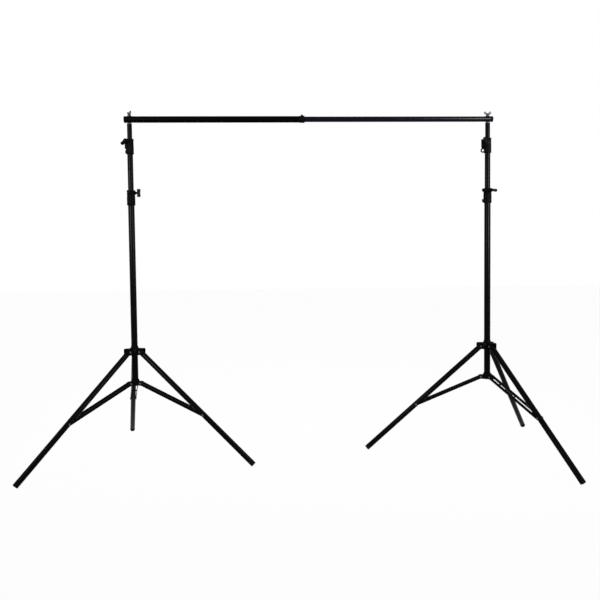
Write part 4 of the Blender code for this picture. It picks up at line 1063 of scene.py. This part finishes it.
def t_knob_shape(start):
    """A T-knob along X whose stem starts at a distance from the centre: a waisted cross bar."""
    sizes = stand().knobs
    end = start + sizes.stem_length
    middle = end + sizes.bar_depth / 2
    stem = sizes.stem / 2
    flare = [
        (0, start),
        (stem, start),
        (stem, end - 0.001),
        (stem * 0.86, end + 0.002),
        (stem * 0.8, middle),
        (0, middle),
    ]
    shank = moved(lathed(flare, 0.0006, 3, 48), LAID_ALONG["X"])
    # The screw reaches 12 mm into the collar
    screw = pin(sizes.screw / 2, start - 0.012, start + OVERLAP, 0.0003, axis="X")
    half, steps, sides = sizes.bar / 2, 14, 36
    grip = bmesh.new()
    rows = []
    for step in range(-steps, steps + 1):
        station = half * math.sin(QUARTER * step / steps)
        girth = bar_section(abs(station) / half)
        # The very end closes in one point
        if girth < 0.02:
            rows.append([grip.verts.new((0, 0, station))])
            continue
        row = []
        for side in range(sides):
            # A section between a circle and a square
            across, up = math.cos(math.tau * side / sides), math.sin(math.tau * side / sides)
            squash = (abs(across) ** 3.0 + abs(up) ** 3.0) ** (-1 / 3.0)
            across = sizes.bar_depth / 2 * girth * squash * across
            up = sizes.bar_width / 2 * girth * squash * up
            row.append(grip.verts.new((across, up, station)))
        rows.append(row)
    skinned(grip, zip(rows, rows[1:]), sides)
    shifted(grip, middle)
    face = middle + sizes.bar_depth * 0.5 * sizes.waist
    dimple = pin(0.0042, face - 0.0009, middle + 0.02, 0, 40, "X")
    return combined(grip, [shank, screw], [dimple])


def collar_outer(diameter):
    """The radius of a lock collar on a tube of this diameter."""
    return diameter / 2 + GAP + stand().collars.wall


def sleeve_shape(lower, upper):
    """A lock collar's sleeve with its rims, the lower tube's seat and the upper tube's hole."""
    sizes = stand().collars
    outer = collar_outer(lower)
    rim = outer + sizes.rim
    seat, hole = lower / 2 + GAP, upper / 2 + GAP
    top = sizes.height
    corners = [
        (seat, 0),
        (outer, 0),
        (rim, sizes.rim),
        (rim, sizes.rim_height),
        (outer, sizes.rim_height + 0.0004),
        (outer, top - sizes.rim_height - 0.0004),
        (rim, top - sizes.rim_height),
        (rim, top - sizes.rim),
        (outer, top),
        (hole, top),
        (hole, sizes.seat),
        (seat, sizes.seat),
    ]
    return lathed(corners, 0.0005, 3, 72, ring=True)


def knob_boss(diameter, height):
    """The boss for a T-knob on a collar, along X at a height."""
    outer = collar_outer(diameter)
    start, end = outer - stand().collars.wall / 2, outer + stand().knobs.boss_length
    radius = stand().knobs.boss / 2
    corners = [(0, start), (radius + 0.001, start), (radius, end - 0.003)]
    corners += [(radius - 0.001, end), (0, end)]
    return shifted(moved(lathed(corners, 0.0008, 4, 48), LAID_ALONG["X"]), z=height)


def pocket(low, high, across):
    """Two shallow recesses in the sides of a lug."""
    cuts = []
    for side in (-1, 1):
        inner, outer = across - 0.0012, across + 0.01
        near, far = (inner, outer) if side > 0 else (-outer, -inner)
        cuts.append(block((low[0], near, low[1]), (high[0], far, high[1]), 0.0009, 2))
    return cuts


def lower_collar_shape():
    """The collar on the base tube: a knob boss and two grip lugs a quarter turn from it."""
    sizes, tubes = stand().collars, stand().tubes
    half = sizes.lug_width / 2
    root = tubes.base / 2 + GAP + sizes.wall / 2
    reach = sizes.lug_reach
    lugs, cuts = [], []
    for low in (sizes.lug_margin, sizes.height - sizes.lug_margin - sizes.lug_height):
        high = low + sizes.lug_height
        lugs.append(block((root, -half, low), (reach, half, high), 0.0022, 5))
        cuts += pocket((root + 0.006, low + 0.004), (reach - 0.0035, high - 0.004), half)
    lugs = [spun(lug, -QUARTER) for lug in lugs]
    cuts = [spun(cut, -QUARTER) for cut in cuts]
    boss = knob_boss(tubes.base, stand().knobs.lower)
    return combined(sleeve_shape(tubes.base, tubes.middle), lugs + [boss], cuts)


def upper_collar_shape():
    """The collar on the middle tube: a knob boss, a long block and a ring loop under it."""
    sizes, tubes = stand().collars, stand().tubes
    half = sizes.lug_width / 2
    root = tubes.middle / 2 + GAP + sizes.wall / 2
    low, high = sizes.block_bottom, sizes.block_top
    reach = sizes.block_reach
    lug = block((root, -half, low), (reach, half, high), 0.0024, 5)
    cuts = pocket((root + 0.0045, low + 0.005), (reach - 0.0035, high - 0.005), half)
    centre = (sizes.loop_centre, sizes.loop_height)
    ring = arc(centre, sizes.loop, math.radians(-150), math.radians(60), 28)
    top = low + 0.004
    outline = ring + [Vector((ring[-1].x, top)), Vector((ring[0].x, top))]
    loop = plate(outline, -sizes.loop_wire / 2, sizes.loop_wire / 2, 0.0012, 3)
    hole = pin(sizes.loop_hole, -sizes.lug_width, sizes.lug_width, 0, 48)
    loop = combined(loop, [], [shifted(hole, sizes.loop_centre, z=sizes.loop_height)])
    joins = [spun(lug, -QUARTER), spun(loop, -QUARTER)]
    joins.append(knob_boss(tubes.middle, stand().knobs.upper))
    sleeve = sleeve_shape(tubes.middle, tubes.top)
    return combined(sleeve, joins, [spun(cut, -QUARTER) for cut in cuts])


def wing_shape(side):
    """One wing of a wing nut, standing on z = 0."""
    sizes = stand().tops
    centre = Vector((sizes.span / 2 - sizes.lobe, sizes.rise - sizes.lobe))
    # Its two edges run from these points inside the hub to the lobe
    low, high = Vector((0.0015, 0.002)), Vector((0.0015, 0.0115))

    def touch(point, hand):
        away = point - centre
        return math.atan2(away.y, away.x) + hand * math.acos(sizes.lobe / away.length)

    lobe = arc(centre, sizes.lobe, touch(low, 1), touch(high, -1) + math.tau, 28)
    outline = [Vector((side * x, z)) for x, z in [low] + lobe + [high]]
    return plate(outline, -sizes.wing / 2, sizes.wing / 2, 0.001, 3)


def wing_nut_shape():
    """A cast wing nut standing on z = 0: the hub and wings melt into each other."""
    sizes = stand().tops
    foot, top = sizes.hub / 2, sizes.hub_top / 2
    corners = [(0, 0), (foot, 0), (foot, 0.0015), (top, sizes.hub_height), (0, sizes.hub_height)]
    hub = lathed(corners, 0.0008, 4, 56)
    thick = sizes.wing * 0.68
    rims = []
    for side in (1, -1):
        rim = pin(sizes.lobe - 0.0002, -thick, thick, 0.001, 40)
        out = side * (sizes.span / 2 - sizes.lobe)
        rims.append(shifted(rim, out, z=sizes.rise - sizes.lobe))
    return combined(hub, [wing_shape(1), wing_shape(-1)] + rims, melted=True)


def stud_shape(tube_top, seat_top, top):
    """The plug in the top tube with the seat under the bar, and the core of the stud."""
    sizes = stand().tops
    flange = stand().tubes.top / 2
    plug = flange - stand().tubes.wall - GAP
    core = sizes.stud / 2 - sizes.pitch * RIDGE
    foot = tube_top - 0.025
    corners = [
        (0, foot),
        (plug, foot),
        (plug, tube_top),
        (flange, tube_top),
        (flange, seat_top - sizes.seat_height),
        (sizes.seat / 2, seat_top),
        (core, seat_top),
        (core, top - 0.0008),
        (core - 0.0008, top),
        (0, top),
    ]
    return lathed(corners, 0.0005, 3, 72)


# Operators, one for each piece or group of like pieces


class STAND_OT_finishes(bpy.types.Operator):
    """Make the finishes and the geometry node trees"""

    bl_idname = "backdrop_stand.finishes"
    bl_label = "Finishes and Node Trees"

    def execute(self, context):
        for make in (make_powder_coat, make_nylon, make_abs, make_rubber):
            make()
        colours = stand().finishes
        make_anodised("satin_black_anodising", colours.satin_dye, 0.46, 0.007)
        make_anodised("gloss_black_anodising", colours.gloss_dye, 0.28, 0.05)
        make_zinc("bright_zinc_plate", colours.zinc, colours.zinc_dull, 0.5)
        make_zinc("grey_zinc_plate", colours.grey_zinc, colours.grey_zinc_worn, 0.56)
        # The left wing nut's zinc, darkened as painted shade
        make_zinc("painted_shade_zinc_plate", colours.black_zinc, colours.black_zinc_worn, 0.42)
        for make in (make_tube_tree, make_rivet_tree, make_rib_tree, make_thread_tree):
            make()
        return {"FINISHED"}


class STAND_OT_columns(bpy.types.Operator):
    """Draw the three telescoping tubes of each stand"""

    bl_idname = "backdrop_stand.columns"
    bl_label = "Column Tubes"

    def execute(self, context):
        sizes = stand().tubes
        parts = {"base": sizes.base, "middle": sizes.middle, "top": sizes.top}
        for side in SIDES:
            place = column_frame(side)
            for part, wide in parts.items():
                body, node = f"{side}_{part}", f"{side}_{part}_tube"
                low, high = (corner[2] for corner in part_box(node))
                tube(f"{node}_drawn", wide, low, high, place, body, [node], "satin_powder_coat")
        return {"FINISHED"}


class STAND_OT_bushes(bpy.types.Operator):
    """Give the guide bushes inside the tubes their finish"""

    bl_idname = "backdrop_stand.bushes"
    bl_label = "Guide Bushes"

    def execute(self, context):
        names = [f"{side}_{part}_bush" for side in SIDES for part in ("middle", "top")]
        for name in names + ["bar_bush"]:
            for slot in frame["nodes"][name].material_slots:
                slot.material = bpy.data.materials["glass_filled_nylon"]
        return {"FINISHED"}


class STAND_OT_legs(bpy.types.Operator):
    """Make the six legs with their rounded upper ends"""

    bl_idname = "backdrop_stand.legs"
    bl_label = "Legs"

    def execute(self, context):
        sizes = stand().legs
        wide = stand().tubes.leg
        low = sizes.tip + GAP - sizes.length
        half = sizes.knuckle / 2
        finish = "satin_powder_coat"
        for side in SIDES:
            for letter in LEGS:
                node = f"{side}_leg_{letter}"
                place = leg_frame(side, letter)
                # The tube ends inside its knuckle
                tube(f"{node}_tube", wide, low, -0.002, place, node, [node], finish)
                knuckle = pin(wide / 2, -half, half, 0.0012, 64)
                piece(f"{node}_knuckle", knuckle, place, node, [node], finish)
        return {"FINISHED"}


class STAND_OT_tips(bpy.types.Operator):
    """Make the grooved rubber tips, worn flat on the floor"""

    bl_idname = "backdrop_stand.tips"
    bl_label = "Leg Tips"

    def execute(self, context):
        sizes = stand().legs
        radius = stand().tubes.leg / 2
        spigot = radius - stand().tubes.wall - GAP
        foot = -sizes.length
        step = foot + sizes.tip
        end = step + 0.030
        deep = radius - sizes.tip_groove
        groove = ((-0.0008, radius), (-0.0004, deep), (0.0004, deep), (0.0008, radius))
        corners = [(0, foot), (radius - 0.0006, foot), (radius, foot + 0.0006)]
        for height in (0.006, 0.0095, 0.013):
            corners += [(reach, foot + height + shift) for shift, reach in groove]
        corners += [(radius, step), (spigot, step), (spigot, end), (0, end)]
        for side in SIDES:
            for letter in LEGS:
                body, node = f"{side}_leg_{letter}", f"{side}_leg_tip_{letter}"
                shape = lathed(corners, 0.0003, 2, 64)
                place = leg_frame(side, letter)
                made = piece(f"{node}_moulded", shape, place, body, [node], "moulded_rubber")
                for vertex in made.data.vertices:
                    vertex.co.z = max(0.0, vertex.co.z)
        return {"FINISHED"}


class STAND_OT_braces(bpy.types.Operator):
    """Make the six braces: two flat straps, a spacer pin and the leg's rivet"""

    bl_idname = "backdrop_stand.braces"
    bl_label = "Braces"

    def execute(self, context):
        sizes = stand().legs
        radius = sizes.strap_height / 2
        outline = arc((0, 0), radius, QUARTER, 3 * QUARTER, 18)
        outline += arc((sizes.brace, 0), radius, -QUARTER, QUARTER, 18)
        face = strap_face()
        inner, reach = face - sizes.strap, face + 0.001
        spot = (Vector((sizes.brace, 0, 0)), Vector((0, 1, 0)), 2 * face)
        for side in SIDES:
            for letter in LEGS:
                node = f"{side}_brace_{letter}"
                place = brace_frame(side, letter)
                parts = [plate(outline, *span, 0.0006) for span in ((inner, face), (-face, -inner))]
                spacer = pin(sizes.spacer_diameter / 2, -reach, reach, 0.0005)
                shape = together(parts + [shifted(spacer, sizes.spacer)])
                piece(f"{node}_straps", shape, place, node, [node], "satin_powder_coat")
                rivets(f"{node}_rivet", [spot], place, node, [node])
        return {"FINISHED"}


class STAND_OT_brace_collars(bpy.types.Operator):
    """Mould the fixed hubs at the foot of the columns and rivet them"""

    bl_idname = "backdrop_stand.brace_collars"
    bl_label = "Brace Collars"

    def execute(self, context):
        places = hub_rivets(2 * (strap_face() + GAP))
        for side in SIDES:
            node, body = f"{side}_brace_collar", f"{side}_base"
            place = hub_frame(side, "brace_collar")
            shape = brace_collar_shape()
            hard_piece(f"{node}_moulded", shape, place, body, [node], "glass_filled_nylon")
            rivets(f"{node}_rivets", places, place, body, [node])
        return {"FINISHED"}


class STAND_OT_spiders(bpy.types.Operator):
    """Mould the sliding hubs with their clevises and rivet them"""

    bl_idname = "backdrop_stand.spiders"
    bl_label = "Spiders"

    def execute(self, context):
        sizes = stand().hubs
        places = hub_rivets(sizes.fork + 2 * sizes.cheek + 2 * GAP)
        for side in SIDES:
            node = f"{side}_spider"
            place = hub_frame(side, "spider")
            hard_piece(f"{node}_moulded", spider_shape(), place, node, [node], "glass_filled_nylon")
            rivets(f"{node}_rivets", places, place, node, [node])
        return {"FINISHED"}


class STAND_OT_lock_knobs(bpy.types.Operator):
    """Mould the small fluted knobs that lock the sliding hubs"""

    bl_idname = "backdrop_stand.lock_knobs"
    bl_label = "Spider Lock Knobs"

    def execute(self, context):
        sizes = stand().hubs
        start = sizes.neck + sizes.shoulder + LOCK_BOSS + GAP
        lie = Matrix.Translation((start, 0, 0)) @ LAID_ALONG["X"]
        for side in SIDES:
            node = f"{side}_spider_knob"
            screw = pin(0.0035, sizes.bore, start + 0.002, 0.0002, axis="X")
            shape = together([moved(fluted_knob_shape(), lie), screw])
            place = knob_frame(side, "spider_knob")
            piece(f"{node}_moulded", shape, place, node, [node], "moulded_abs")
        return {"FINISHED"}


class STAND_OT_lock_collars(bpy.types.Operator):
    """Mould the lock collars and their grip ribs"""

    bl_idname = "backdrop_stand.lock_collars"
    bl_label = "Lock Collars"

    def execute(self, context):
        sizes, tubes = stand().collars, stand().tubes
        kinds = (
            ("lower_collar", "base", lower_collar_shape, tubes.base),
            ("upper_collar", "middle", upper_collar_shape, tubes.middle),
        )
        finish = "glass_filled_nylon"
        values = {"Count": sizes.ribs, "Proud": sizes.rib, "Width": 0.0022}
        values |= {"Start": sizes.rim_height + 0.003, "End": sizes.height * 0.56}
        for side in SIDES:
            for kind, part, make, diameter in kinds:
                node, body = f"{side}_{kind}", f"{side}_{part}"
                place = collar_frame(side, kind)
                hard_piece(f"{node}_moulded", make(), place, body, [node], finish)
                values["Ring"] = collar_outer(diameter)
                grown(f"{node}_ribs", "grip_ribs", values, place, body, [node], finish)
        return {"FINISHED"}


class STAND_OT_t_knobs(bpy.types.Operator):
    """Mould the T-knobs of the lock collars"""

    bl_idname = "backdrop_stand.t_knobs"
    bl_label = "T-Knobs"

    def execute(self, context):
        tubes = stand().tubes
        for side in SIDES:
            for knob, diameter in (("lower_knob", tubes.base), ("upper_knob", tubes.middle)):
                node = f"{side}_{knob}"
                shape = t_knob_shape(collar_outer(diameter) + stand().knobs.boss_length + GAP)
                place = knob_frame(side, knob)
                piece(f"{node}_moulded", shape, place, node, [node], "moulded_abs")
        return {"FINISHED"}


class STAND_OT_studs(bpy.types.Operator):
    """Turn the stud plugs and washers and cut the studs' threads"""

    bl_idname = "backdrop_stand.studs"
    bl_label = "Studs and Washers"

    def execute(self, context):
        sizes = stand().tops
        finish = "grey_zinc_plate"
        outer, inner = sizes.washer / 2, sizes.stud / 2 + GAP
        for side in SIDES:
            body, node = f"{side}_top", f"{side}_stud_plug"
            place = column_frame(side)
            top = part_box(node)[1][2]
            low, high = (corner[2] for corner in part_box(f"{side}_washer"))
            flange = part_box(f"{side}_top_tube")[1][2] + GAP
            seat_top = flange + sizes.flange + sizes.seat_height
            core = stud_shape(flange, seat_top, top)
            piece(f"{node}_turned", core, place, body, [node], finish)
            values = {"Diameter": sizes.stud, "Pitch": sizes.pitch}
            values |= {"Start": high, "End": top - 0.0012}
            grown(f"{node}_thread", "screw_thread", values, place, body, [node], finish)
            corners = [(inner, low), (outer, low), (outer, high), (inner, high)]
            washer = lathed(corners, 0.0004, 3, 64, ring=True)
            piece(f"{side}_washer_pressed", washer, place, body, [f"{side}_washer"], finish)
        return {"FINISHED"}


class STAND_OT_wing_nuts(bpy.types.Operator):
    """Cast the wing nuts over the crossbar's ends"""

    bl_idname = "backdrop_stand.wing_nuts"
    bl_label = "Wing Nuts"

    def execute(self, context):
        for side in SIDES:
            node = f"{side}_wing_nut"
            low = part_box(node)[0][2]
            spin = Matrix.Rotation(math.radians(TURNED_TO[side]["wing_nut"]), 4, "Z")
            place = column_frame(side, low) @ spin
            # The left wing nut is drawn dark and the right one bright: the left one's darker zinc
            # is painted shade, both being the same zinc
            finish = "painted_shade_zinc_plate" if side == "left" else "bright_zinc_plate"
            piece(f"{node}_cast", wing_nut_shape(), place, node, [node], finish, 80.0)
        return {"FINISHED"}


class STAND_OT_crossbar(bpy.types.Operator):
    """Draw the crossbar's two tubes and mould their end caps"""

    bl_idname = "backdrop_stand.crossbar"
    bl_label = "Crossbar"

    def execute(self, context):
        sizes, tubes = stand().bar, stand().tubes
        place = bar_frame()
        joint = place.translation.x
        ends = (
            ("bar_outer", "left", 0, tubes.bar_outer, "satin_black_anodising"),
            ("bar_inner", "right", 1, tubes.bar_inner, "gloss_black_anodising"),
        )
        for node, side, corner, diameter, finish in ends:
            low, high = (spot[0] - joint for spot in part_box(node))
            tube(f"{node}_drawn", diameter, low, high, place, node, [node], finish)
            cap = f"bar_cap_{side}"
            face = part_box(cap)[corner][0] - joint
            radius = diameter / 2 + sizes.cap_lip
            spigot = diameter / 2 - tubes.wall - GAP
            # A shallow dish in the face, and a spigot in the tube
            corners = [
                (0, -0.0012),
                (radius * 0.5, -0.0012),
                (radius * 0.56, 0),
                (radius, 0),
                (radius, -sizes.cap),
                (spigot, -sizes.cap),
                (spigot, -sizes.cap - 0.012),
                (0, -sizes.cap - 0.012),
            ]
            shape = lathed(corners, sizes.cap_edge, 6, 72)
            if side == "left":
                moved(shape, Matrix.Rotation(math.pi, 4, "X"))
            shifted(shape, z=face)
            piece(f"{cap}_moulded", shape, place, node, [cap], "glass_filled_nylon")
        return {"FINISHED"}


class STAND_OT_lock_ring(bpy.types.Operator):
    """Mould the ring at the crossbar's joint and make its slotted screw"""

    bl_idname = "backdrop_stand.lock_ring"
    bl_label = "Lock Ring and Screw"

    def execute(self, context):
        sizes, tubes = stand().bar, stand().tubes
        place = bar_frame()
        bore, nose = tubes.bar_outer / 2 + GAP, tubes.bar_inner / 2 + GAP
        outer = bore + sizes.ring_wall
        half = sizes.ring / 2
        stop = half - sizes.ring_nose + GAP
        corners = [
            (bore, -half),
            (outer - 0.0004, -half),
            (outer, -half + 0.003),
            (outer - 0.0006, -half + 0.0036),
            (outer - 0.0006, half - 0.0066),
            (outer, half - 0.006),
            (outer, half - 0.0015),
            (outer - 0.0015, half),
            (nose, half),
            (nose, stop),
            (bore, stop),
        ]
        face = outer + sizes.boss_height
        boss = pin(sizes.boss / 2, bore + OVERLAP, face, 0.0005, 40, "X")
        ring = combined(lathed(corners, 0.0004, 3, 72, ring=True), [boss])
        node, finish = "bar_lock_ring", "glass_filled_nylon"
        hard_piece(f"{node}_moulded", ring, place, "bar_outer", [node], finish)
        foot = face + GAP
        crown, head = sizes.screw_height, sizes.screw / 2
        profile = [
            (0, nose),
            (0.0025, nose),
            (0.0025, foot),
            (head, foot),
            (head, foot + crown * 0.55),
            (head * 0.7, foot + crown * 0.93),
            (0, foot + crown),
        ]
        screw = moved(lathed(profile, 0.0008, 4, 56), LAID_ALONG["X"])
        wide = sizes.slot / 2
        low, high = (foot + crown - 0.0013, -wide, -head * 2), (foot + crown * 2, wide, head * 2)
        screw = combined(screw, [], [block(low, high, 0.0001, 1)])
        node, finish = "bar_lock_screw", "bright_zinc_plate"
        piece(f"{node}_turned", screw, place, node, [node], finish)
        return {"FINISHED"}


class STAND_OT_stage(bpy.types.Operator):
    """Set the white floor, the soft boxes, the sky and the camera"""

    bl_idname = "backdrop_stand.stage"
    bl_label = "Studio"

    def execute(self, context):
        set_stage()
        return {"FINISHED"}


# Studio


def seen_white(tree):
    """1 for rays that come from the camera or that gloss or glass sends on, else 0."""
    path = add(tree, "ShaderNodeLightPath").outputs
    inputs = {0: path["Is Camera Ray"], 1: path["Is Glossy Ray"]}
    first = add(tree, "ShaderNodeMath", inputs, operation="MAXIMUM")
    inputs = {0: first, 1: path["Is Transmission Ray"]}
    return add(tree, "ShaderNodeMath", inputs, operation="MAXIMUM")


def make_floor():
    """A pale floor that looks white and still takes the stand's shadow."""
    shape = bmesh.new()
    bmesh.ops.create_grid(shape, x_segments=1, y_segments=1, size=30.0)
    floor = as_object(shape, "studio_floor")
    # Just under the tips, so that no face of theirs lies in it
    floor.location.z = -0.0005
    material = bpy.data.materials.new("white_paper_floor")
    material.use_nodes = True
    tree = material.node_tree
    shader = tree.nodes["Principled BSDF"]
    pale = (*stand().stage.floor, 1.0)
    fill(tree, shader, {"Base Color": pale, "Roughness": 0.9, "Specular IOR Level": 0.0})
    lit = add(tree, "ShaderNodeEmission", {"Color": WHITE, "Strength": 1.0})
    white = add(tree, "ShaderNodeMath", {0: seen_white(tree), 1: 0.97}, operation="MULTIPLY")
    mixed = add(tree, "ShaderNodeMixShader", {0: white, 1: shader, 2: lit})
    fill(tree, tree.nodes["Material Output"], {"Surface": mixed})
    floor.data.materials.append(material)


def make_sky():
    """White where it is seen, and a soft even light on the stand."""
    world = bpy.data.worlds.new("studio_sky")
    bpy.context.scene.world = world
    world.use_nodes = True
    tree = world.node_tree
    tree.nodes.clear()
    inputs = {"Value": seen_white(tree)} | limits(0.0, 1.0, stand().stage.ambient, 1.0)
    strength = add(tree, "ShaderNodeMapRange", inputs)
    light = add(tree, "ShaderNodeBackground", {"Color": WHITE, "Strength": strength})
    add(tree, "ShaderNodeOutputWorld", {"Surface": light})


def soft_box(name, place, aim, width, height, watts):
    """A tall soft box behind a grid that keeps its light on one stand."""
    data = bpy.data.lights.new(name, "AREA")
    data.shape = "RECTANGLE"
    data.size = width
    data.size_y = height
    data.energy = watts
    data.spread = stand().stage.spread
    lamp = linked(name, data)
    lamp.location = place
    lamp.rotation_euler = (Vector(aim) - Vector(place)).to_track_quat("-Z", "Y").to_euler()


def make_camera():
    """The camera at the photograph's place: level but for a small turn, dip and tilt."""
    settings = stand().stage
    turn, dip, tilt = settings.aim
    right = Vector((math.cos(turn), -math.sin(turn), 0))
    forward = Vector(
        (math.cos(dip) * math.sin(turn), math.cos(dip) * math.cos(turn), -math.sin(dip))
    )
    up = right.cross(forward)
    across = right * math.cos(tilt) + up * math.sin(tilt)
    upward = up * math.cos(tilt) - right * math.sin(tilt)
    data = bpy.data.cameras.new("photo_camera")
    data.lens = settings.lens
    data.sensor_width = 36.0
    camera = linked("photo_camera", data)
    turned_to = Matrix((across, upward, -forward)).transposed().to_4x4()
    camera.matrix_world = Matrix.Translation(settings.camera) @ turned_to
    bpy.context.scene.camera = camera


def set_stage():
    """The whole studio: floor, sky, two soft boxes and camera."""
    settings = stand().stage
    bpy.context.scene.view_settings.view_transform = "Standard"
    make_floor()
    make_sky()
    soft_box("left_box", (-2.65, -3.05, 2.45), (-0.93, 0, 1.9), 1.0, 1.4, settings.left_box)
    soft_box("right_box", (2.9, -2.95, 2.25), (1.01, 0, 1.7), 1.3, 1.6, settings.right_box)
    make_camera()


# Panel and registration


class STAND_PT_panel(bpy.types.Panel):
    """The stand's operators and settings in the 3D view's sidebar"""

    bl_idname = "STAND_PT_panel"
    bl_label = "Backdrop Stand"
    bl_space_type = "VIEW_3D"
    bl_region_type = "UI"
    bl_category = "Backdrop Stand"

    def draw(self, context):
        layout = self.layout
        for operator in OPERATORS:
            layout.operator(operator.bl_idname)
        settings = context.scene.backdrop_stand
        for group in settings.bl_rna.properties:
            if group.type == "POINTER" and group.identifier != "rna_type":
                box = layout.box()
                box.label(text=group.identifier.title())
                values = getattr(settings, group.identifier)
                for value in values.bl_rna.properties:
                    if value.identifier not in ("rna_type", "name"):
                        box.prop(values, value.identifier)


GROUPS = (
    TubeSizes,
    LegSizes,
    HubSizes,
    CollarSizes,
    KnobSizes,
    TopSizes,
    BarSizes,
    Finishes,
    StageSettings,
    BackdropStand,
)
OPERATORS = (
    STAND_OT_finishes,
    STAND_OT_columns,
    STAND_OT_bushes,
    STAND_OT_legs,
    STAND_OT_tips,
    STAND_OT_braces,
    STAND_OT_brace_collars,
    STAND_OT_spiders,
    STAND_OT_lock_knobs,
    STAND_OT_lock_collars,
    STAND_OT_t_knobs,
    STAND_OT_studs,
    STAND_OT_wing_nuts,
    STAND_OT_crossbar,
    STAND_OT_lock_ring,
    STAND_OT_stage,
)


def register():
    for item in GROUPS + OPERATORS + (STAND_PT_panel,):
        bpy.utils.register_class(item)
    bpy.types.Scene.backdrop_stand = PointerProperty(type=BackdropStand)


def unregister():
    del bpy.types.Scene.backdrop_stand
    for item in reversed(GROUPS + OPERATORS + (STAND_PT_panel,)):
        bpy.utils.unregister_class(item)


def main():
    register()
    for operator in OPERATORS:
        getattr(bpy.ops.backdrop_stand, operator.bl_idname.split(".")[1])()


if __name__ == "__main__":
    main()
